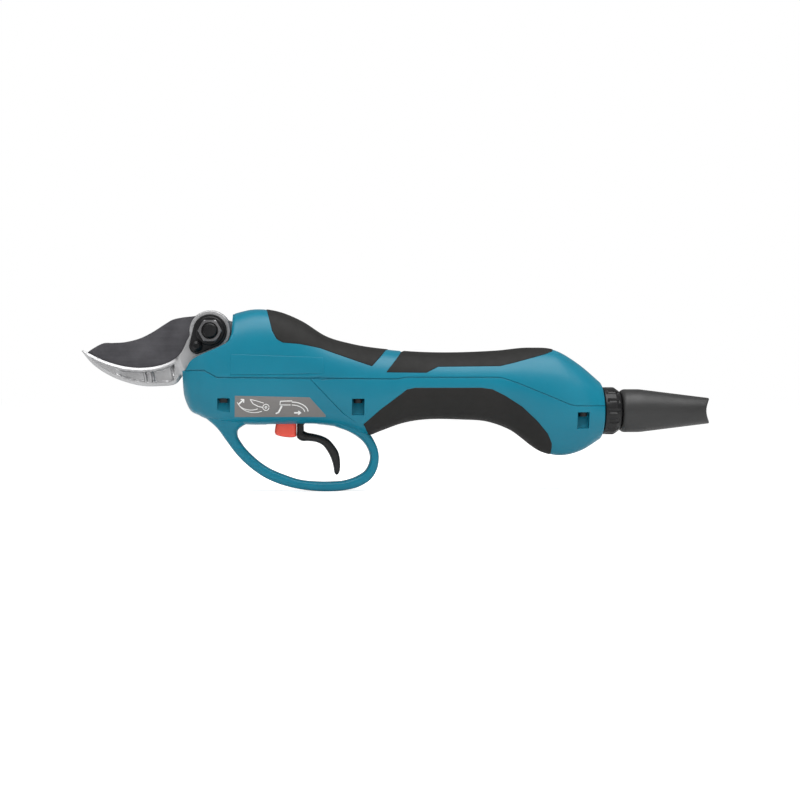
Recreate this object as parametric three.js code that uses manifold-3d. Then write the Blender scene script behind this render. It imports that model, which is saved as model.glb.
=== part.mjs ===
// Battery electric pruner: an in-line hand pruner for orchards and vineyards, fed by a cable at its tail.
// Units are millimetres. +X runs from the blade tip to the cable end, +Z is up, and +Y is the far side,
// where the pivot bolt has its head. Everything is laid out from the blade pivot, and the finished group
// is moved once at the end so that the middle of its box is the origin.

import * as THREE from 'three';
import { mergeVertices } from 'three/addons/utils/BufferGeometryUtils.js';
import Module from 'manifold-3d';

const wasm = await Module();
wasm.setup();

// ---------------------------------------------------------------- driving dimensions

// Clearances
const slideGap = 0.3; // between faces that slide on each other
const seatGap = 0.2; // between faces that are clamped or glued together
const turnGap = 0.35; // all round a pin, shaft or screw in its bore
const jointGap = 0.4; // the open line between two housing shells

// Drive train, along one axis below the pivot
const driveZ = -29.5; // height of the screw, gearbox and motor axis
const motorRadius = 13;
const motorLength = 50;
const motorAirGap = 0.6; // between the motor can and the shells
const gearModule = 0.9;
const sunTeeth = 8;
const planetTeeth = 10;
const planetCount = 3;
const planetPinRadius = 1.5;
const windingRadius = 1.9;
const gearWidth = 8;
const toothAddendum = 0.72; // in modules
const toothDedendum = 1.15; // in modules
const toothBacklash = 0.36;
const screwRadius = 4;
const screwLead = 8;
const nutLength = 11.5;
const bearingRadius = 8.5;
const bearingWidth = 8;

// Cutting head
const pivotBoltRadius = 4;
const bushingWall = 2.2;
const bladeThickness = 3.2;
const counterThickness = 5.2;
const frameThickness = 5.4;
const lugRadius = 11.4;
const bladeLength = 67.6; // pivot to the tip of the cutting blade
const drivePinRadius = 2.5;
const driveArm = 27.5; // pivot to drive pin
const driveAngleClosed = 29; // degrees from straight down towards the rear
const driveAngleOpen = -15;
const earThickness = 4.4;
const nutWidth = 13.4; // across corners
const nutHeight = 5.2;
const lockPlateThickness = 1.6;
const lockScrewX = -7.2;
const lockScrewZ = -8.4;
const lockScrewRadius = 1.9;

// Housing
const wallThickness = 2;
const padThickness = 1.6;
const noseFront = -16;
const noseWall = 2.2;
const noseBulge = 2.8; // how much wider the nose is than the grip, on each side
const noseBottom = -51.5;
const gripStart = 100;
const gripLength = 119.5; // from the start of the grip to the flat tail face
const tailHalfWidth = 20.5;
const cableZ = -44; // height of the cable axis
const tailFaceRadius = 15.5;
const bodySides = 18; // facets round the housing
const bodyStep = 13; // length of a facet along it

// Trigger and its guard
const guardDepth = 37.3; // below the nose's underside
const guardThickness = 5.6;
const guardHalfWidth = 5.5;
const triggerX = 54;
const triggerZ = -46;
const triggerHalfWidth = 5;
const triggerPinRadius = 1.5;
const lockLeverX = 41.5;
const lockLeverZ = -47;
const lockLeverHalfWidth = 4.6;
const springWireRadius = 0.4;

// Cable end
const ringRadius = 13.4;
const ringLength = 10;
const plugRadius = 7.2;
const bootRadius = 12.2;
const bootEndRadius = 7.2;
const bootLength = 52;
const bootBore = 4.2;
const contactPinRadius = 1;
const contactPinSpread = 3; // each contact pin from the cable axis

// Housing screws
const screwPostX = [7.6, 81]; // the front posts
const rearPostInset = 13.5; // the rear posts, from the flat tail face
const housingScrewRadius = 1.5;
const housingScrewHead = 2.6;
const housingScrewLength = 13;
const pillarRadius = 4.2;
const pocketTop = [-37, -37.2, -44.7];

// ---------------------------------------------------------------- sizes that follow

const degree = Math.PI / 180;
const shellDepth = wallThickness + padThickness + seatGap; // outer skin to the inside of the shells
const gripHalfWidth = motorRadius + motorAirGap + shellDepth + 0.8;
const gripHalfHeight = motorRadius + motorAirGap + shellDepth + 1.8;
const noseHalfWidth = gripHalfWidth + noseBulge;
const gripTop = driveZ + gripHalfHeight;
const gripBottom = driveZ - gripHalfHeight;
const tailX = gripStart + gripLength;
const alongGrip = (share) => gripStart + share * gripLength;

const bladeHalf = bladeThickness / 2;
const counterInner = -(bladeHalf + slideGap);
const counterOuter = counterInner - counterThickness;
const frameInner = bladeHalf + slideGap;
const frameOuter = frameInner + frameThickness;
const earInner = bladeHalf + slideGap + 0.1;
const earOuter = earInner + earThickness;
const bushingRadius = pivotBoltRadius + turnGap + bushingWall;

const pinX = driveArm * Math.sin(driveAngleClosed * degree);
const pinZ = -driveArm * Math.cos(driveAngleClosed * degree);
const pinTravel = pinX - driveArm * Math.sin(driveAngleOpen * degree);
const slotHalf = drivePinRadius + 0.45; // a straight slide only nearly follows the pin's arc
const armEnd = drivePinRadius + 3;
const screwTip = pinX + armEnd + 1;
const nutFront = screwTip + pinTravel - 1.6; // the nut keeps the screw's tip when the blade is open
const nutRear = nutFront + nutLength;
const blockFront = nutRear + 1.2;
const blockRear = blockFront + bearingWidth + 2;

const sunRadius = gearModule * sunTeeth / 2;
const planetRadius = gearModule * planetTeeth / 2;
const ringTeeth = sunTeeth + 2 * planetTeeth;
const ringPitch = gearModule * ringTeeth / 2;
const planetOrbit = sunRadius + planetRadius;
const caseRadius = ringPitch + toothDedendum * gearModule + 1;
const caseFront = blockRear + seatGap;
const carrierFront = caseFront + 2.4;
const gearFront = carrierFront + 3 + slideGap;
const gearRear = gearFront + gearWidth;
const caseRear = gearRear + 2;
const motorFront = caseRear + seatGap;
const motorRear = motorFront + motorLength;

// ---------------------------------------------------------------- solids: making, joining and cutting

function solid(geometry) {
  const bare = geometry.clone();
  bare.deleteAttribute('normal');
  bare.deleteAttribute('uv');
  const merged = mergeVertices(bare, 1e-5);
  return new wasm.Manifold(new wasm.Mesh({
    numProp: 3,
    vertProperties: new Float32Array(merged.attributes.position.array),
    triVerts: new Uint32Array(merged.index.array),
  }));
}

function geometryOf(body) {
  const mesh = body.getMesh();
  const geometry = new THREE.BufferGeometry();
  geometry.setAttribute('position', new THREE.BufferAttribute(new Float32Array(mesh.vertProperties), 3));
  geometry.setIndex(new THREE.BufferAttribute(new Uint32Array(mesh.triVerts), 1));
  geometry.computeVertexNormals();
  return geometry;
}

const join = (first, ...others) => others.reduce((whole, other) => whole.add(other), first);
const cut = (first, ...others) => others.reduce((whole, other) => whole.subtract(other), first);

// A box between two opposite corners.
function block(x0, x1, y0, y1, z0, z1) {
  const box = new THREE.BoxGeometry(x1 - x0, y1 - y0, z1 - z0);
  box.translate((x0 + x1) / 2, (y0 + y1) / 2, (z0 + z1) / 2);
  return solid(box);
}

// A round bar along X, from x0 to x1; the second radius makes it a cone.
function barX(x0, x1, radius, z = driveZ, y = 0, sides = 20, radiusEnd = radius) {
  const bar = new THREE.CylinderGeometry(radiusEnd, radius, x1 - x0, sides);
  bar.rotateZ(-Math.PI / 2);
  bar.translate((x0 + x1) / 2, y, z);
  return solid(bar);
}

function barY(y0, y1, radius, x, z, sides = 24) {
  const bar = new THREE.CylinderGeometry(radius, radius, y1 - y0, sides);
  bar.translate(x, (y0 + y1) / 2, z);
  return solid(bar);
}

function barZ(z0, z1, radius, x, y, sides = 16) {
  const bar = new THREE.CylinderGeometry(radius, radius, z1 - z0, sides);
  bar.rotateX(Math.PI / 2);
  bar.translate(x, y, (z0 + z1) / 2);
  return solid(bar);
}

const flat = (points) => points.map(([a, b]) => new THREE.Vector2(a, b));

// A closed outline, always anticlockwise, so that holes in it are read the right way round.
function outline(points, ...holes) {
  const edge = flat(points);
  const shape = new THREE.Shape(THREE.ShapeUtils.isClockWise(edge) ? edge.reverse() : edge);
  shape.holes.push(...holes.map((hole) => new THREE.Path(flat(hole))));
  return shape;
}

// A plate with its outline in the XZ plane, from y0 to y1.
function plate(shape, y0, y1, curveSegments = 8) {
  const sheet = new THREE.ExtrudeGeometry(shape, { depth: y1 - y0, bevelEnabled: false, curveSegments });
  sheet.rotateX(Math.PI / 2);
  sheet.translate(0, y1, 0);
  return solid(sheet);
}

// A bar with its section in the YZ plane, from x0 to x1.
function prism(shape, x0, x1) {
  const bar = new THREE.ExtrudeGeometry(shape, { depth: x1 - x0, bevelEnabled: false });
  const turn = new THREE.Matrix4().makeBasis(
    new THREE.Vector3(0, 1, 0), new THREE.Vector3(0, 0, 1), new THREE.Vector3(1, 0, 0));
  bar.applyMatrix4(turn);
  bar.translate(x0, 0, 0);
  return solid(bar);
}

// A turned piece along X: each profile point is [x, radius], and the profile closes on itself or the axis.
function turned(profile, z = driveZ, y = 0, sides = 24) {
  const points = profile.map(([x, radius]) => new THREE.Vector2(radius, x));
  const body = new THREE.LatheGeometry(points, sides);
  body.rotateZ(-Math.PI / 2);
  body.translate(0, y, z);
  return solid(body);
}

// A tube of constant section along a path.
function tube(path, radius, steps, sides = 8) {
  const section = new THREE.Shape();
  section.absarc(0, 0, radius, 0, 2 * Math.PI);
  return solid(new THREE.ExtrudeGeometry(section, { steps, curveSegments: sides, extrudePath: path }));
}

// A height that follows smoothly through [x, height] points.
function contour(points) {
  const curve = new THREE.CubicInterpolant(points.map(([x]) => x), points.map(([, height]) => height), 1);
  return (x) => curve.evaluate(x)[0];
}

// A smooth line through points, as a list of points again.
function smooth(points, count) {
  const curve = new THREE.SplineCurve(points.map(([x, z]) => new THREE.Vector2(x, z)));
  return curve.getSpacedPoints(count).map((point) => [point.x, point.y]);
}

function arc(x, z, radius, from, to, count) {
  return Array.from({ length: count + 1 }, (_, step) => {
    const angle = (from + (to - from) * step / count) * degree;
    return [x + radius * Math.cos(angle), z + radius * Math.sin(angle)];
  });
}

const shifted = (points, dx, dz) => points.map(([x, z]) => [x + dx, z + dz]);

// ---------------------------------------------------------------- the body's outer form

const topLine = contour([
  [noseFront - 2, 2], [12, 9.6], [24, 12.3], [37, 11.1], [50, 6], [64, -2.6], [78, gripTop + 3.6],
  [gripStart, gripTop + 0.4], [alongGrip(0.5), gripTop], [alongGrip(0.66), gripTop + 1.7],
  [alongGrip(0.78), gripTop + 0.4], [alongGrip(0.89), gripTop - 7.2], [tailX, cableZ + tailFaceRadius],
]);
const bottomLine = contour([
  [noseFront, -31], [noseFront + 3.8, -41.6], [noseFront + 10, -46.5], [noseFront + 18, -49.6],
  [20, noseBottom], [40, noseBottom], [60, noseBottom], [74, -53.6], [88, -57.4], [94, -55.2],
  [106, gripBottom - 2.2], [alongGrip(0.34), gripBottom], [alongGrip(0.46), gripBottom - 1.2],
  [alongGrip(0.56), gripBottom - 5.4], [alongGrip(0.72), gripBottom - 18.4],
  [alongGrip(0.79), gripBottom - 20.4], [alongGrip(0.9), gripBottom - 18],
  [tailX, cableZ - tailFaceRadius],
]);
const sideLine = contour([
  [noseFront, noseHalfWidth - 10], [noseFront + 3, noseHalfWidth - 5.6],
  [noseFront + 9, noseHalfWidth - 2.2], [noseFront + 20, noseHalfWidth - 0.4],
  [30, noseHalfWidth], [60, noseHalfWidth - 0.6], [gripStart, gripHalfWidth],
  [alongGrip(0.45), gripHalfWidth], [alongGrip(0.82), tailHalfWidth], [alongGrip(0.92), tailHalfWidth - 1.6],
  [tailX, tailFaceRadius],
]);
const squareness = contour([[noseFront, 2.5], [30, 2.8], [80, 2.5], [gripStart + 10, 2.2], [tailX, 2]]);

// One ring of the body at x, drawn in by the inset: a rounded box between the contours.
function bodyRing(x, inset, sides) {
  const top = topLine(x) - inset;
  const bottom = bottomLine(x) + inset;
  const half = sideLine(x) - inset;
  const power = 2 / squareness(x);
  return Array.from({ length: sides }, (_, step) => {
    const angle = 2 * Math.PI * step / sides;
    const across = Math.sign(Math.cos(angle)) * Math.abs(Math.cos(angle)) ** power;
    const up = Math.sign(Math.sin(angle)) * Math.abs(Math.sin(angle)) ** power;
    return [x, half * across, (top + bottom) / 2 + (top - bottom) / 2 * up];
  });
}

// The body as a closed loft from x0 to x1.
function bodyLoft(inset, x0, x1, sides = bodySides) {
  const count = Math.round((x1 - x0) / bodyStep);
  const points = [];
  const faces = [];
  for (let station = 0; station <= count; station += 1) {
    const share = station / count;
    const x = x0 + (x1 - x0) * (share - 0.1 * Math.sin(2 * Math.PI * Math.min(share * 4, 1)) / 4);
    points.push(...bodyRing(x, inset, sides));
  }
  for (let station = 0; station < count; station += 1) {
    for (let side = 0; side < sides; side += 1) {
      const a = station * sides + side;
      const b = station * sides + (side + 1) % sides;
      faces.push(a, b, a + sides, b, b + sides, a + sides);
    }
  }
  for (let side = 1; side < sides - 1; side += 1) {
    faces.push(0, side + 1, side);
    const last = count * sides;
    faces.push(last, last + side, last + side + 1);
  }
  const geometry = new THREE.BufferGeometry();
  geometry.setAttribute('position', new THREE.BufferAttribute(new Float32Array(points.flat()), 3));
  geometry.setIndex(faces);
  return solid(geometry);
}

const high = 60;
const low = -130;
const wide = 60;

// The line between the upper and the lower shells, front to rear.
const seamLine = [
  [noseFront - 14, -22], [-3, -22], [4, -25.8], [gripStart + 2, -26.4], [gripStart + 8, -25.4],
  [alongGrip(0.5), -25.4], [alongGrip(0.58), -28.6], [alongGrip(0.82), -40.4], [alongGrip(0.85), -41.2],
  [tailX + 10, -41.2],
];
// The slanted line between the two lower shells, top to bottom.
const splitLine = [[54.6, -20], [54.6, -26.4], [72.5, -45], [79.5, -50], [84, -51], [88, -57.6], [104, -58.4],
  [104, low]];
// The edge that the housing keeps round the cutting head, bottom to top.
const headLine = [
  [noseFront + 1.6, -21.6], [-7.3, -17], [-0.8, -14], [5.7, -10.4], [9.5, -6.8], [11.5, -1.8], [11.9, 8],
  [12.2, high],
];

const above = (line) => plate(outline([...line, [line.at(-1)[0], high], [line[0][0], high]]), -wide, wide);
const below = (line) => plate(outline([...line, [line.at(-1)[0], low], [line[0][0], low]]), -wide, wide);

function headRoom(reach, y0, y1) {
  const edge = shifted(headLine, reach, -reach * 0.7);
  return plate(outline([[noseFront - 20, edge[0][1]], ...edge, [noseFront - 20, high]]), y0, y1);
}

// ---------------------------------------------------------------- grip pads: outlines seen from the side

const frontPadEdge = [
  [30.4, high], [30.6, 11], [33.5, 0], [36, -4.8], [39.6, -6.8], [49.4, -7.6], [60.3, -9.8], [88.8, -19.8],
  [97.3, -10.4], [99, high],
];
const rearPadEdge = [
  [107, high], [105, -11.4], [100.6, -13.2], [95.8, -23], [gripStart + 18.5, -23.2], [gripStart + 25, -19.8],
  [alongGrip(0.5), -19.4], [alongGrip(0.57), -17.4], [alongGrip(0.72), -12.4], [alongGrip(0.76), -9],
  [alongGrip(0.78), high],
];
const lowerPadEdge = [
  [88.4, low], [87.2, -57.6], [83.8, -51.2], [93.2, -42.8], [104.6, -34.2], [107.6, -31.8], [112, -30.8],
  [alongGrip(0.41), -30.8], [alongGrip(0.46), -31.6], [alongGrip(0.52), -35.1],
  [alongGrip(0.6), -41.2], [alongGrip(0.67), -49], [alongGrip(0.725), -56.7], [alongGrip(0.75), -62.4],
  [alongGrip(0.757), low],
];

// ---------------------------------------------------------------- shared blanks

const outerBody = bodyLoft(0, noseFront, tailX);
const underPads = bodyLoft(padThickness + seatGap, noseFront, tailX);
const innerBody = cut(bodyLoft(shellDepth, noseFront + noseWall, tailX - wallThickness),
  headRoom(noseWall, -wide, wide));
const padBed = cut(
  join(...[frontPadEdge, rearPadEdge, lowerPadEdge].map((edge) => plate(outline(edge), -wide, wide))),
  underPads);
const padRoom = padBed.intersect(bodyLoft(-seatGap, noseFront, tailX)); // with clearance outside the skin
const shell = cut(outerBody, innerBody, headRoom(0, -wide, wide), padBed);

// The way through the shells for the cutting head.
function headOpening() {
  const front = headRoom(noseWall + 2, counterOuter - jointGap, frameOuter + jointGap);
  const footSlot = block(noseFront - 1, noseFront + noseWall + 1,
    counterOuter - jointGap, frameOuter + jointGap, -28.6, -20);
  return join(front, footSlot);
}

// The room that the gearbox and the motor keep inside the shells.
const driveRoom = join(barX(caseFront - 1, caseRear + 1, caseRadius + motorAirGap),
  barX(motorFront - 1, motorRear + 1, motorRadius + motorAirGap));

// ---------------------------------------------------------------- housing screws

const postY = (x) => sideLine(x) - housingScrewHead - 0.6;
const screwPosts = [...screwPostX, tailX - rearPostInset].flatMap((x, index) => [-1, 1].map((side) => ({
  x,
  y: side * postY(x),
  side,
  seat: pocketTop[index],
})));
const postHalf = housingScrewHead + 0.4;

// The walls of a screw's channel, up to the seam and down past the skin.
function lowerPosts() {
  return screwPosts.map(({ x, y, side, seat }) => {
    const out = side * wide;
    const inward = y - side * (postHalf + wallThickness);
    return block(x - postHalf - wallThickness, x + postHalf + wallThickness,
      Math.min(inward, out), Math.max(inward, out), low, seat + 2.4);
  });
}

function screwChannels() {
  return screwPosts.map(({ x, y, side, seat }) => {
    const out = side * wide;
    const inward = y - side * postHalf;
    const [yLow, yHigh] = [Math.min(inward, out), Math.max(inward, out)];
    const channel = block(x - postHalf, x + postHalf, yLow, yHigh, low, seat);
    return join(channel, barZ(seat - 1, seat + housingScrewLength + 4, housingScrewRadius + turnGap, x, y));
  });
}

function housingScrew({ x, y, seat }) {
  const head = barZ(seat - seatGap - 2.2, seat - seatGap, housingScrewHead - 0.2, x, y, 16);
  const shank = barZ(seat - seatGap - 0.2, seat + housingScrewLength - 2, housingScrewRadius, x, y, 12);
  const socket = barZ(seat - 4, seat - seatGap - 1, 1.3, x, y, 6);
  return cut(join(head, shank), socket);
}

// ---------------------------------------------------------------- housing shells

function upperHousing() {
  const pillarTop = housingScrewLength + 3;
  const pillars = screwPosts.map(({ x, y, seat }) => barZ(seat, seat + pillarTop, pillarRadius, x, y, 16));
  const posts = join(...pillars).intersect(outerBody);
  const upper = join(shell, cut(posts, padBed)).intersect(above(shifted(seamLine, 0, jointGap / 2)));
  return cut(upper, ...screwChannels(), headOpening(), socketRoom(), driveRoom);
}

function guardLoop() {
  const outer = [
    [noseFront + 0.6, -30], ...smooth([
      [noseFront + 0.6, -33], [noseFront + 4, -42], [-4, -47.4], [3, -52.8], [14, -67.5],
      [30, noseBottom - guardDepth + 7.8], [48, noseBottom - guardDepth + 1.6],
      [67, noseBottom - guardDepth], [84, noseBottom - guardDepth + 2.8],
      [92.6, noseBottom - guardDepth + 12], [93, -66], [88.8, -58],
    ], 36), [84, -45],
  ];
  const inner = smooth([
    [20, noseBottom], [15, -54.6], [16.4, -60.6], [24, -69.5], [36, noseBottom - guardDepth + 11],
    [50, noseBottom - guardDepth + 6.4], [67, noseBottom - guardDepth + guardThickness],
    [80, noseBottom - guardDepth + guardThickness + 2.2],
    [88.6, noseBottom - guardDepth + guardThickness + 9.6],
    [88, -66.2], [80, -57], [70, -53.4], [60, noseBottom],
  ], 40);
  return plate(outline(outer, inner), -guardHalfWidth, guardHalfWidth);
}

// The slot in the nose's underside for the trigger and its lock lever.
function triggerSlot() {
  const half = triggerHalfWidth + slideGap;
  const slot = block(lockLeverX - 10.5, triggerX + 5.5, -half, half, noseBottom - 1, noseBottom + 8);
  const hornRoom = block(triggerX, triggerX + 9, 0.8, half, triggerZ - 3.2, triggerZ + 7);
  return join(slot, hornRoom);
}

// Ribs beside the slot that carry the two cross pins.
function triggerRibs() {
  const inner = triggerHalfWidth + slideGap + 0.2;
  const ribs = [-1, 1].map((side) => {
    const cheek = outline([
      [lockLeverX - 4, noseBottom], [triggerX + 4.6, noseBottom], [triggerX + 4.6, triggerZ + 3.2],
      [lockLeverX - 4, triggerZ + 3.2],
    ]);
    return side > 0 ? plate(cheek, inner, inner + 2) : plate(cheek, -inner - 2, -inner);
  });
  return join(...ribs).intersect(outerBody);
}

function lowerFrontHousing() {
  const front = plate(outline([[noseFront - 20, high], ...shifted(splitLine, -jointGap / 2, 0),
    [noseFront - 20, low]]), -wide, wide);
  const posts = cut(join(...lowerPosts()).intersect(outerBody), padBed);
  const guard = cut(guardLoop(), innerBody, padRoom);
  const body = join(shell, posts, guard, triggerRibs());
  const lower = body.intersect(below(shifted(seamLine, 0, -jointGap / 2))).intersect(front);
  return cut(lower, ...screwChannels(), headOpening(), triggerSlot(), crossPin(0.1, triggerX, triggerZ),
    crossPin(0.1, lockLeverX, lockLeverZ), labelRecess(), driveRoom);
}

function lowerRearHousing() {
  const rear = plate(outline([...shifted(splitLine, jointGap / 2, 0), [tailX + 20, low], [tailX + 20, high],
    [54.6, high]]), -wide, wide);
  const posts = cut(join(...lowerPosts()).intersect(outerBody), padBed);
  const body = join(shell, posts);
  const lower = body.intersect(below(shifted(seamLine, 0, -jointGap / 2))).intersect(rear);
  return cut(lower, ...screwChannels(), socketRoom(), driveRoom);
}

function gripPad(edge) {
  return cut(outerBody, bodyLoft(padThickness, noseFront, tailX))
    .intersect(plate(outline(inside(edge)), -wide, wide));
}

// A closed outline drawn in by the seat gap, each corner along the mean of its two sides' normals.
function inside(edge) {
  const turn = THREE.ShapeUtils.isClockWise(flat(edge)) ? -1 : 1;
  return edge.map(([x, z], index) => {
    const before = edge.at(index - 1);
    const after = edge[(index + 1) % edge.length];
    const into = new THREE.Vector2(x - before[0], z - before[1]).normalize();
    const out = new THREE.Vector2(after[0] - x, after[1] - z).normalize();
    const normal = new THREE.Vector2(-(into.y + out.y), into.x + out.x).multiplyScalar(turn);
    const reach = 2 * seatGap / normal.lengthSq();
    return [x + normal.x * reach, z + normal.y * reach];
  });
}

// ---------------------------------------------------------------- side label plates

const labelEdge = [[13.4, -35.3], [54.4, -36.2], [64, -46.6], [63.6, -47.5], [13.2, -47.5]];

function labelRecess() {
  const skin = cut(bodyLoft(-1, noseFront, tailX), bodyLoft(0.9, noseFront, tailX));
  return skin.intersect(plate(outline(labelEdge), -wide, wide));
}

function labelPlate(side) {
  const edge = inside(labelEdge);
  const skin = cut(bodyLoft(0.1, noseFront, tailX), bodyLoft(0.7, noseFront, tailX));
  return skin.intersect(side < 0 ? plate(outline(edge), -wide, -4) : plate(outline(edge), 4, wide));
}

// ---------------------------------------------------------------- cutting head

function counterBlade() {
  const cuttingEdge = smooth([
    [-69.7, -10.9], [-60, -15.4], [-46.4, -19.5], [-39.3, -20.2], [-31.7, -19.7], [-25.2, -18.1],
    [-20.8, -16.1], [-16.4, -12.5], [-13.4, -7.6],
  ], 14);
  const lug = arc(0, 0, lugRadius, 200, 30, 16);
  const tongue = [[15, 4], [35, 1.4], [35, -8], [12.4, -8.4]];
  const belly = [[9.6, -6.6], [5.4, -9.8], [-1, -13.4], [-7.6, -16.6], [noseFront + 1.4, -21.2]];
  const foot = [[noseFront + 1.8, -22], [noseFront + 1.8, -27], [noseFront + 0.4, -27.4]];
  const back = smooth([
    [-18.6, -28.8], [-28.4, -30.2], [-35, -30.2], [-48, -27.4], [-61, -20.9], [-65.6, -16.4], [-69.5, -11.4],
  ], 12);
  const lugPlate = plate(outline([...cuttingEdge, ...lug, ...tongue, ...belly, ...foot, ...back]),
    counterOuter, counterInner);
  // The hook is thinner than the lug: its outer face steps back in front of the lug.
  const hookFace = plate(outline([[-80, 10], [-15.8, 10], [-15.8, -6.4], [-18.4, -12.6], [-17.6, -24],
    [-17.6, -40], [-80, -40]]), counterOuter - 1, counterOuter + 1.2);
  const scallop = plate(outline([[-49, -22.2], [-36.4, -22], [-34.6, -26.2], [-41, -26.6]]),
    counterOuter - 1, counterOuter + 2.4);
  const scallopRear = plate(outline([[-30.6, -22], [-20.6, -20], [-20.6, -25.8], [-29, -26.4]]),
    counterOuter - 1, counterOuter + 2.4);
  return cut(lugPlate, hookFace, scallop, scallopRear,
    barY(-wide, wide, pivotBoltRadius + turnGap, 0, 0),
    ...bladeScrewX.map((x) => barY(-wide, wide, 2 + turnGap, x, bladeScrewZ, 16)),
    barY(counterOuter - 1, counterInner - 1, lockScrewRadius - 0.3 + turnGap, lockScrewX, lockScrewZ, 12));
}

const bladeScrewX = [19.5, 29.5];
const bladeScrewZ = -2.6;

function cuttingBlade() {
  const tip = -bladeLength;
  const back = smooth([
    [tip, -11.8], [tip + 9, -6.9], [tip + 21, -5.9], [tip + 29, -3.8], [-32, -0.6], [-25, 4.1], [-18, 7.6],
    [-8.4, 8.6],
  ], 14);
  const lug = arc(0, 0, lugRadius - 1.2, 118, -40, 12);
  const angle = driveAngleClosed * degree;
  const side = [Math.cos(angle), Math.sin(angle)];
  const rearEdge = [[pinX + armEnd * side[0], pinZ + armEnd * side[1]]];
  const end = arc(pinX, pinZ, armEnd, driveAngleClosed, driveAngleClosed - 180, 10);
  const heel = [[-5.2, -11.4]];
  const edge = smooth([[-9, -14], [-18, -20], [-28, -24], [-40, -25.2], [tip + 15, -22.4], [tip + 4, -16.6],
    [tip, -11.8]], 12);
  edge.pop();
  const whole = plate(outline([...back, ...lug, ...rearEdge, ...end.slice(1), ...heel, ...edge]),
    -bladeHalf, bladeHalf);
  return cut(whole, barY(-wide, wide, bushingRadius + seatGap, 0, 0),
    barY(-wide, wide, drivePinRadius + seatGap, pinX, pinZ));
}

function pivotBushing() {
  return cut(barY(-bladeHalf, bladeHalf, bushingRadius, 0, 0),
    barY(-wide, wide, pivotBoltRadius + turnGap, 0, 0));
}

const boltHeadHeight = 3.4;

function pivotBolt() {
  const head = barY(frameOuter + seatGap, frameOuter + seatGap + boltHeadHeight, 7.4, 0, 0, 24);
  const socket = barY(frameOuter + seatGap + 1, frameOuter + seatGap + boltHeadHeight + 1, 3.4, 0, 0, 6);
  const shank = barY(nutOuter - 1.2, frameOuter + seatGap + 0.1, pivotBoltRadius, 0, 0);
  return cut(join(head, shank), socket);
}

const lockPlateInner = counterOuter - seatGap;
const lockPlateOuter = lockPlateInner - lockPlateThickness;
const nutInner = lockPlateOuter - seatGap;
const nutOuter = nutInner - nutHeight;

function pivotNut() {
  return cut(barY(nutOuter, nutInner, nutWidth / 2, 0, 0, 6),
    barY(-wide, wide, pivotBoltRadius + seatGap, 0, 0));
}

// A teardrop washer that stops the nut from turning: round at the pivot, with a lobe for its screw.
function lockPlate() {
  const disc = barY(lockPlateOuter, lockPlateInner, 9.25, 0, 0, 28);
  const lobe = barY(lockPlateOuter, lockPlateInner, 4.2, lockScrewX, lockScrewZ, 16);
  return cut(join(disc, lobe), barY(-wide, wide, pivotBoltRadius + turnGap, 0, 0),
    barY(-wide, wide, lockScrewRadius + 0.1, lockScrewX, lockScrewZ, 16));
}

function lockScrew() {
  const head = barY(lockPlateOuter - seatGap - 2, lockPlateOuter - seatGap, 3.2, lockScrewX, lockScrewZ, 20);
  const shank = barY(lockPlateOuter - seatGap - 0.1, counterInner - 1.4, lockScrewRadius - 0.3,
    lockScrewX, lockScrewZ, 12);
  const socket = barY(lockPlateOuter - 4, lockPlateOuter - seatGap - 1, 1.2, lockScrewX, lockScrewZ, 6);
  return cut(join(head, shank), socket);
}

// The far cheek of the head, its spacer and the block that carries the screw bearing.
function headFrame() {
  const cheek = plate(outline([...arc(0, 0, lugRadius + 0.6, 230, 32, 18), [24, 2], [36, 0.4], [50, -8],
    [blockRear, -14], [blockRear, -24], [blockFront, -24], [blockFront, earTop + 1.2], [0, earTop + 1.2]]),
  frameInner, frameOuter);
  const spacer = plate(outline([[19, 3.4], [35, 1.4], [35, -11], [16.6, -11], [15.6, -4]]),
    counterInner + seatGap, frameInner + 0.1);
  const bearingBlock = block(blockFront, blockRear, -11.6, 11.6, driveZ - 10.6, -14);
  return cut(join(cheek, spacer, bearingBlock),
    barY(-wide, wide, pivotBoltRadius + turnGap, 0, 0),
    ...bladeScrewX.map((x) => barY(counterInner - 1, frameOuter - 1.4, 1.6 + turnGap, x, bladeScrewZ, 12)),
    barX(blockFront + 2, blockRear + 1, bearingRadius + seatGap),
    barX(blockFront - 1, blockRear + 1, screwRadius + 1.4));
}

function bladeScrew(x) {
  const head = barY(counterOuter - seatGap - 2.2, counterOuter - seatGap, 3.4, x, bladeScrewZ, 16);
  const shank = barY(counterOuter - seatGap - 0.1, frameOuter - 2, 1.6, x, bladeScrewZ, 12);
  return join(head, shank);
}

// ---------------------------------------------------------------- drive: pin, carriage, screw and gears

const earTop = pinZ + drivePinRadius + 0.4 + 1.8;
const earBottom = -driveArm - drivePinRadius - 0.4 - 3;

function drivePin() {
  return barY(-earOuter, earOuter, drivePinRadius, pinX, pinZ, 20);
}

// Two slotted ears take the pin, and the nut between their rear ends runs on the screw.
function nutCarriage() {
  const front = pinX - slotHalf - 2.2;
  const slotTop = pinZ + drivePinRadius + 0.4;
  const slotBottom = -driveArm - drivePinRadius - 0.4;
  const shape = outline([[front, earTop - 4], [front + 2, earTop], [nutFront + 1, earTop],
    [nutFront + 1, earBottom], [front + 1.5, earBottom], [front, earBottom + 1.5]],
  [[pinX - slotHalf, slotTop], [pinX + slotHalf, slotTop], [pinX + slotHalf, slotBottom],
    [pinX - slotHalf, slotBottom]]);
  const nut = block(nutFront, nutRear, -earOuter, earOuter, driveZ - 7, driveZ + 7);
  const barrel = barX(nutFront, nutRear, 8, driveZ, 0, 28);
  return cut(join(plate(shape, -earOuter, -earInner), plate(shape, earInner, earOuter), nut, barrel),
    barX(screwTip - 1, nutRear + 1, screwRadius + turnGap));
}

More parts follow.
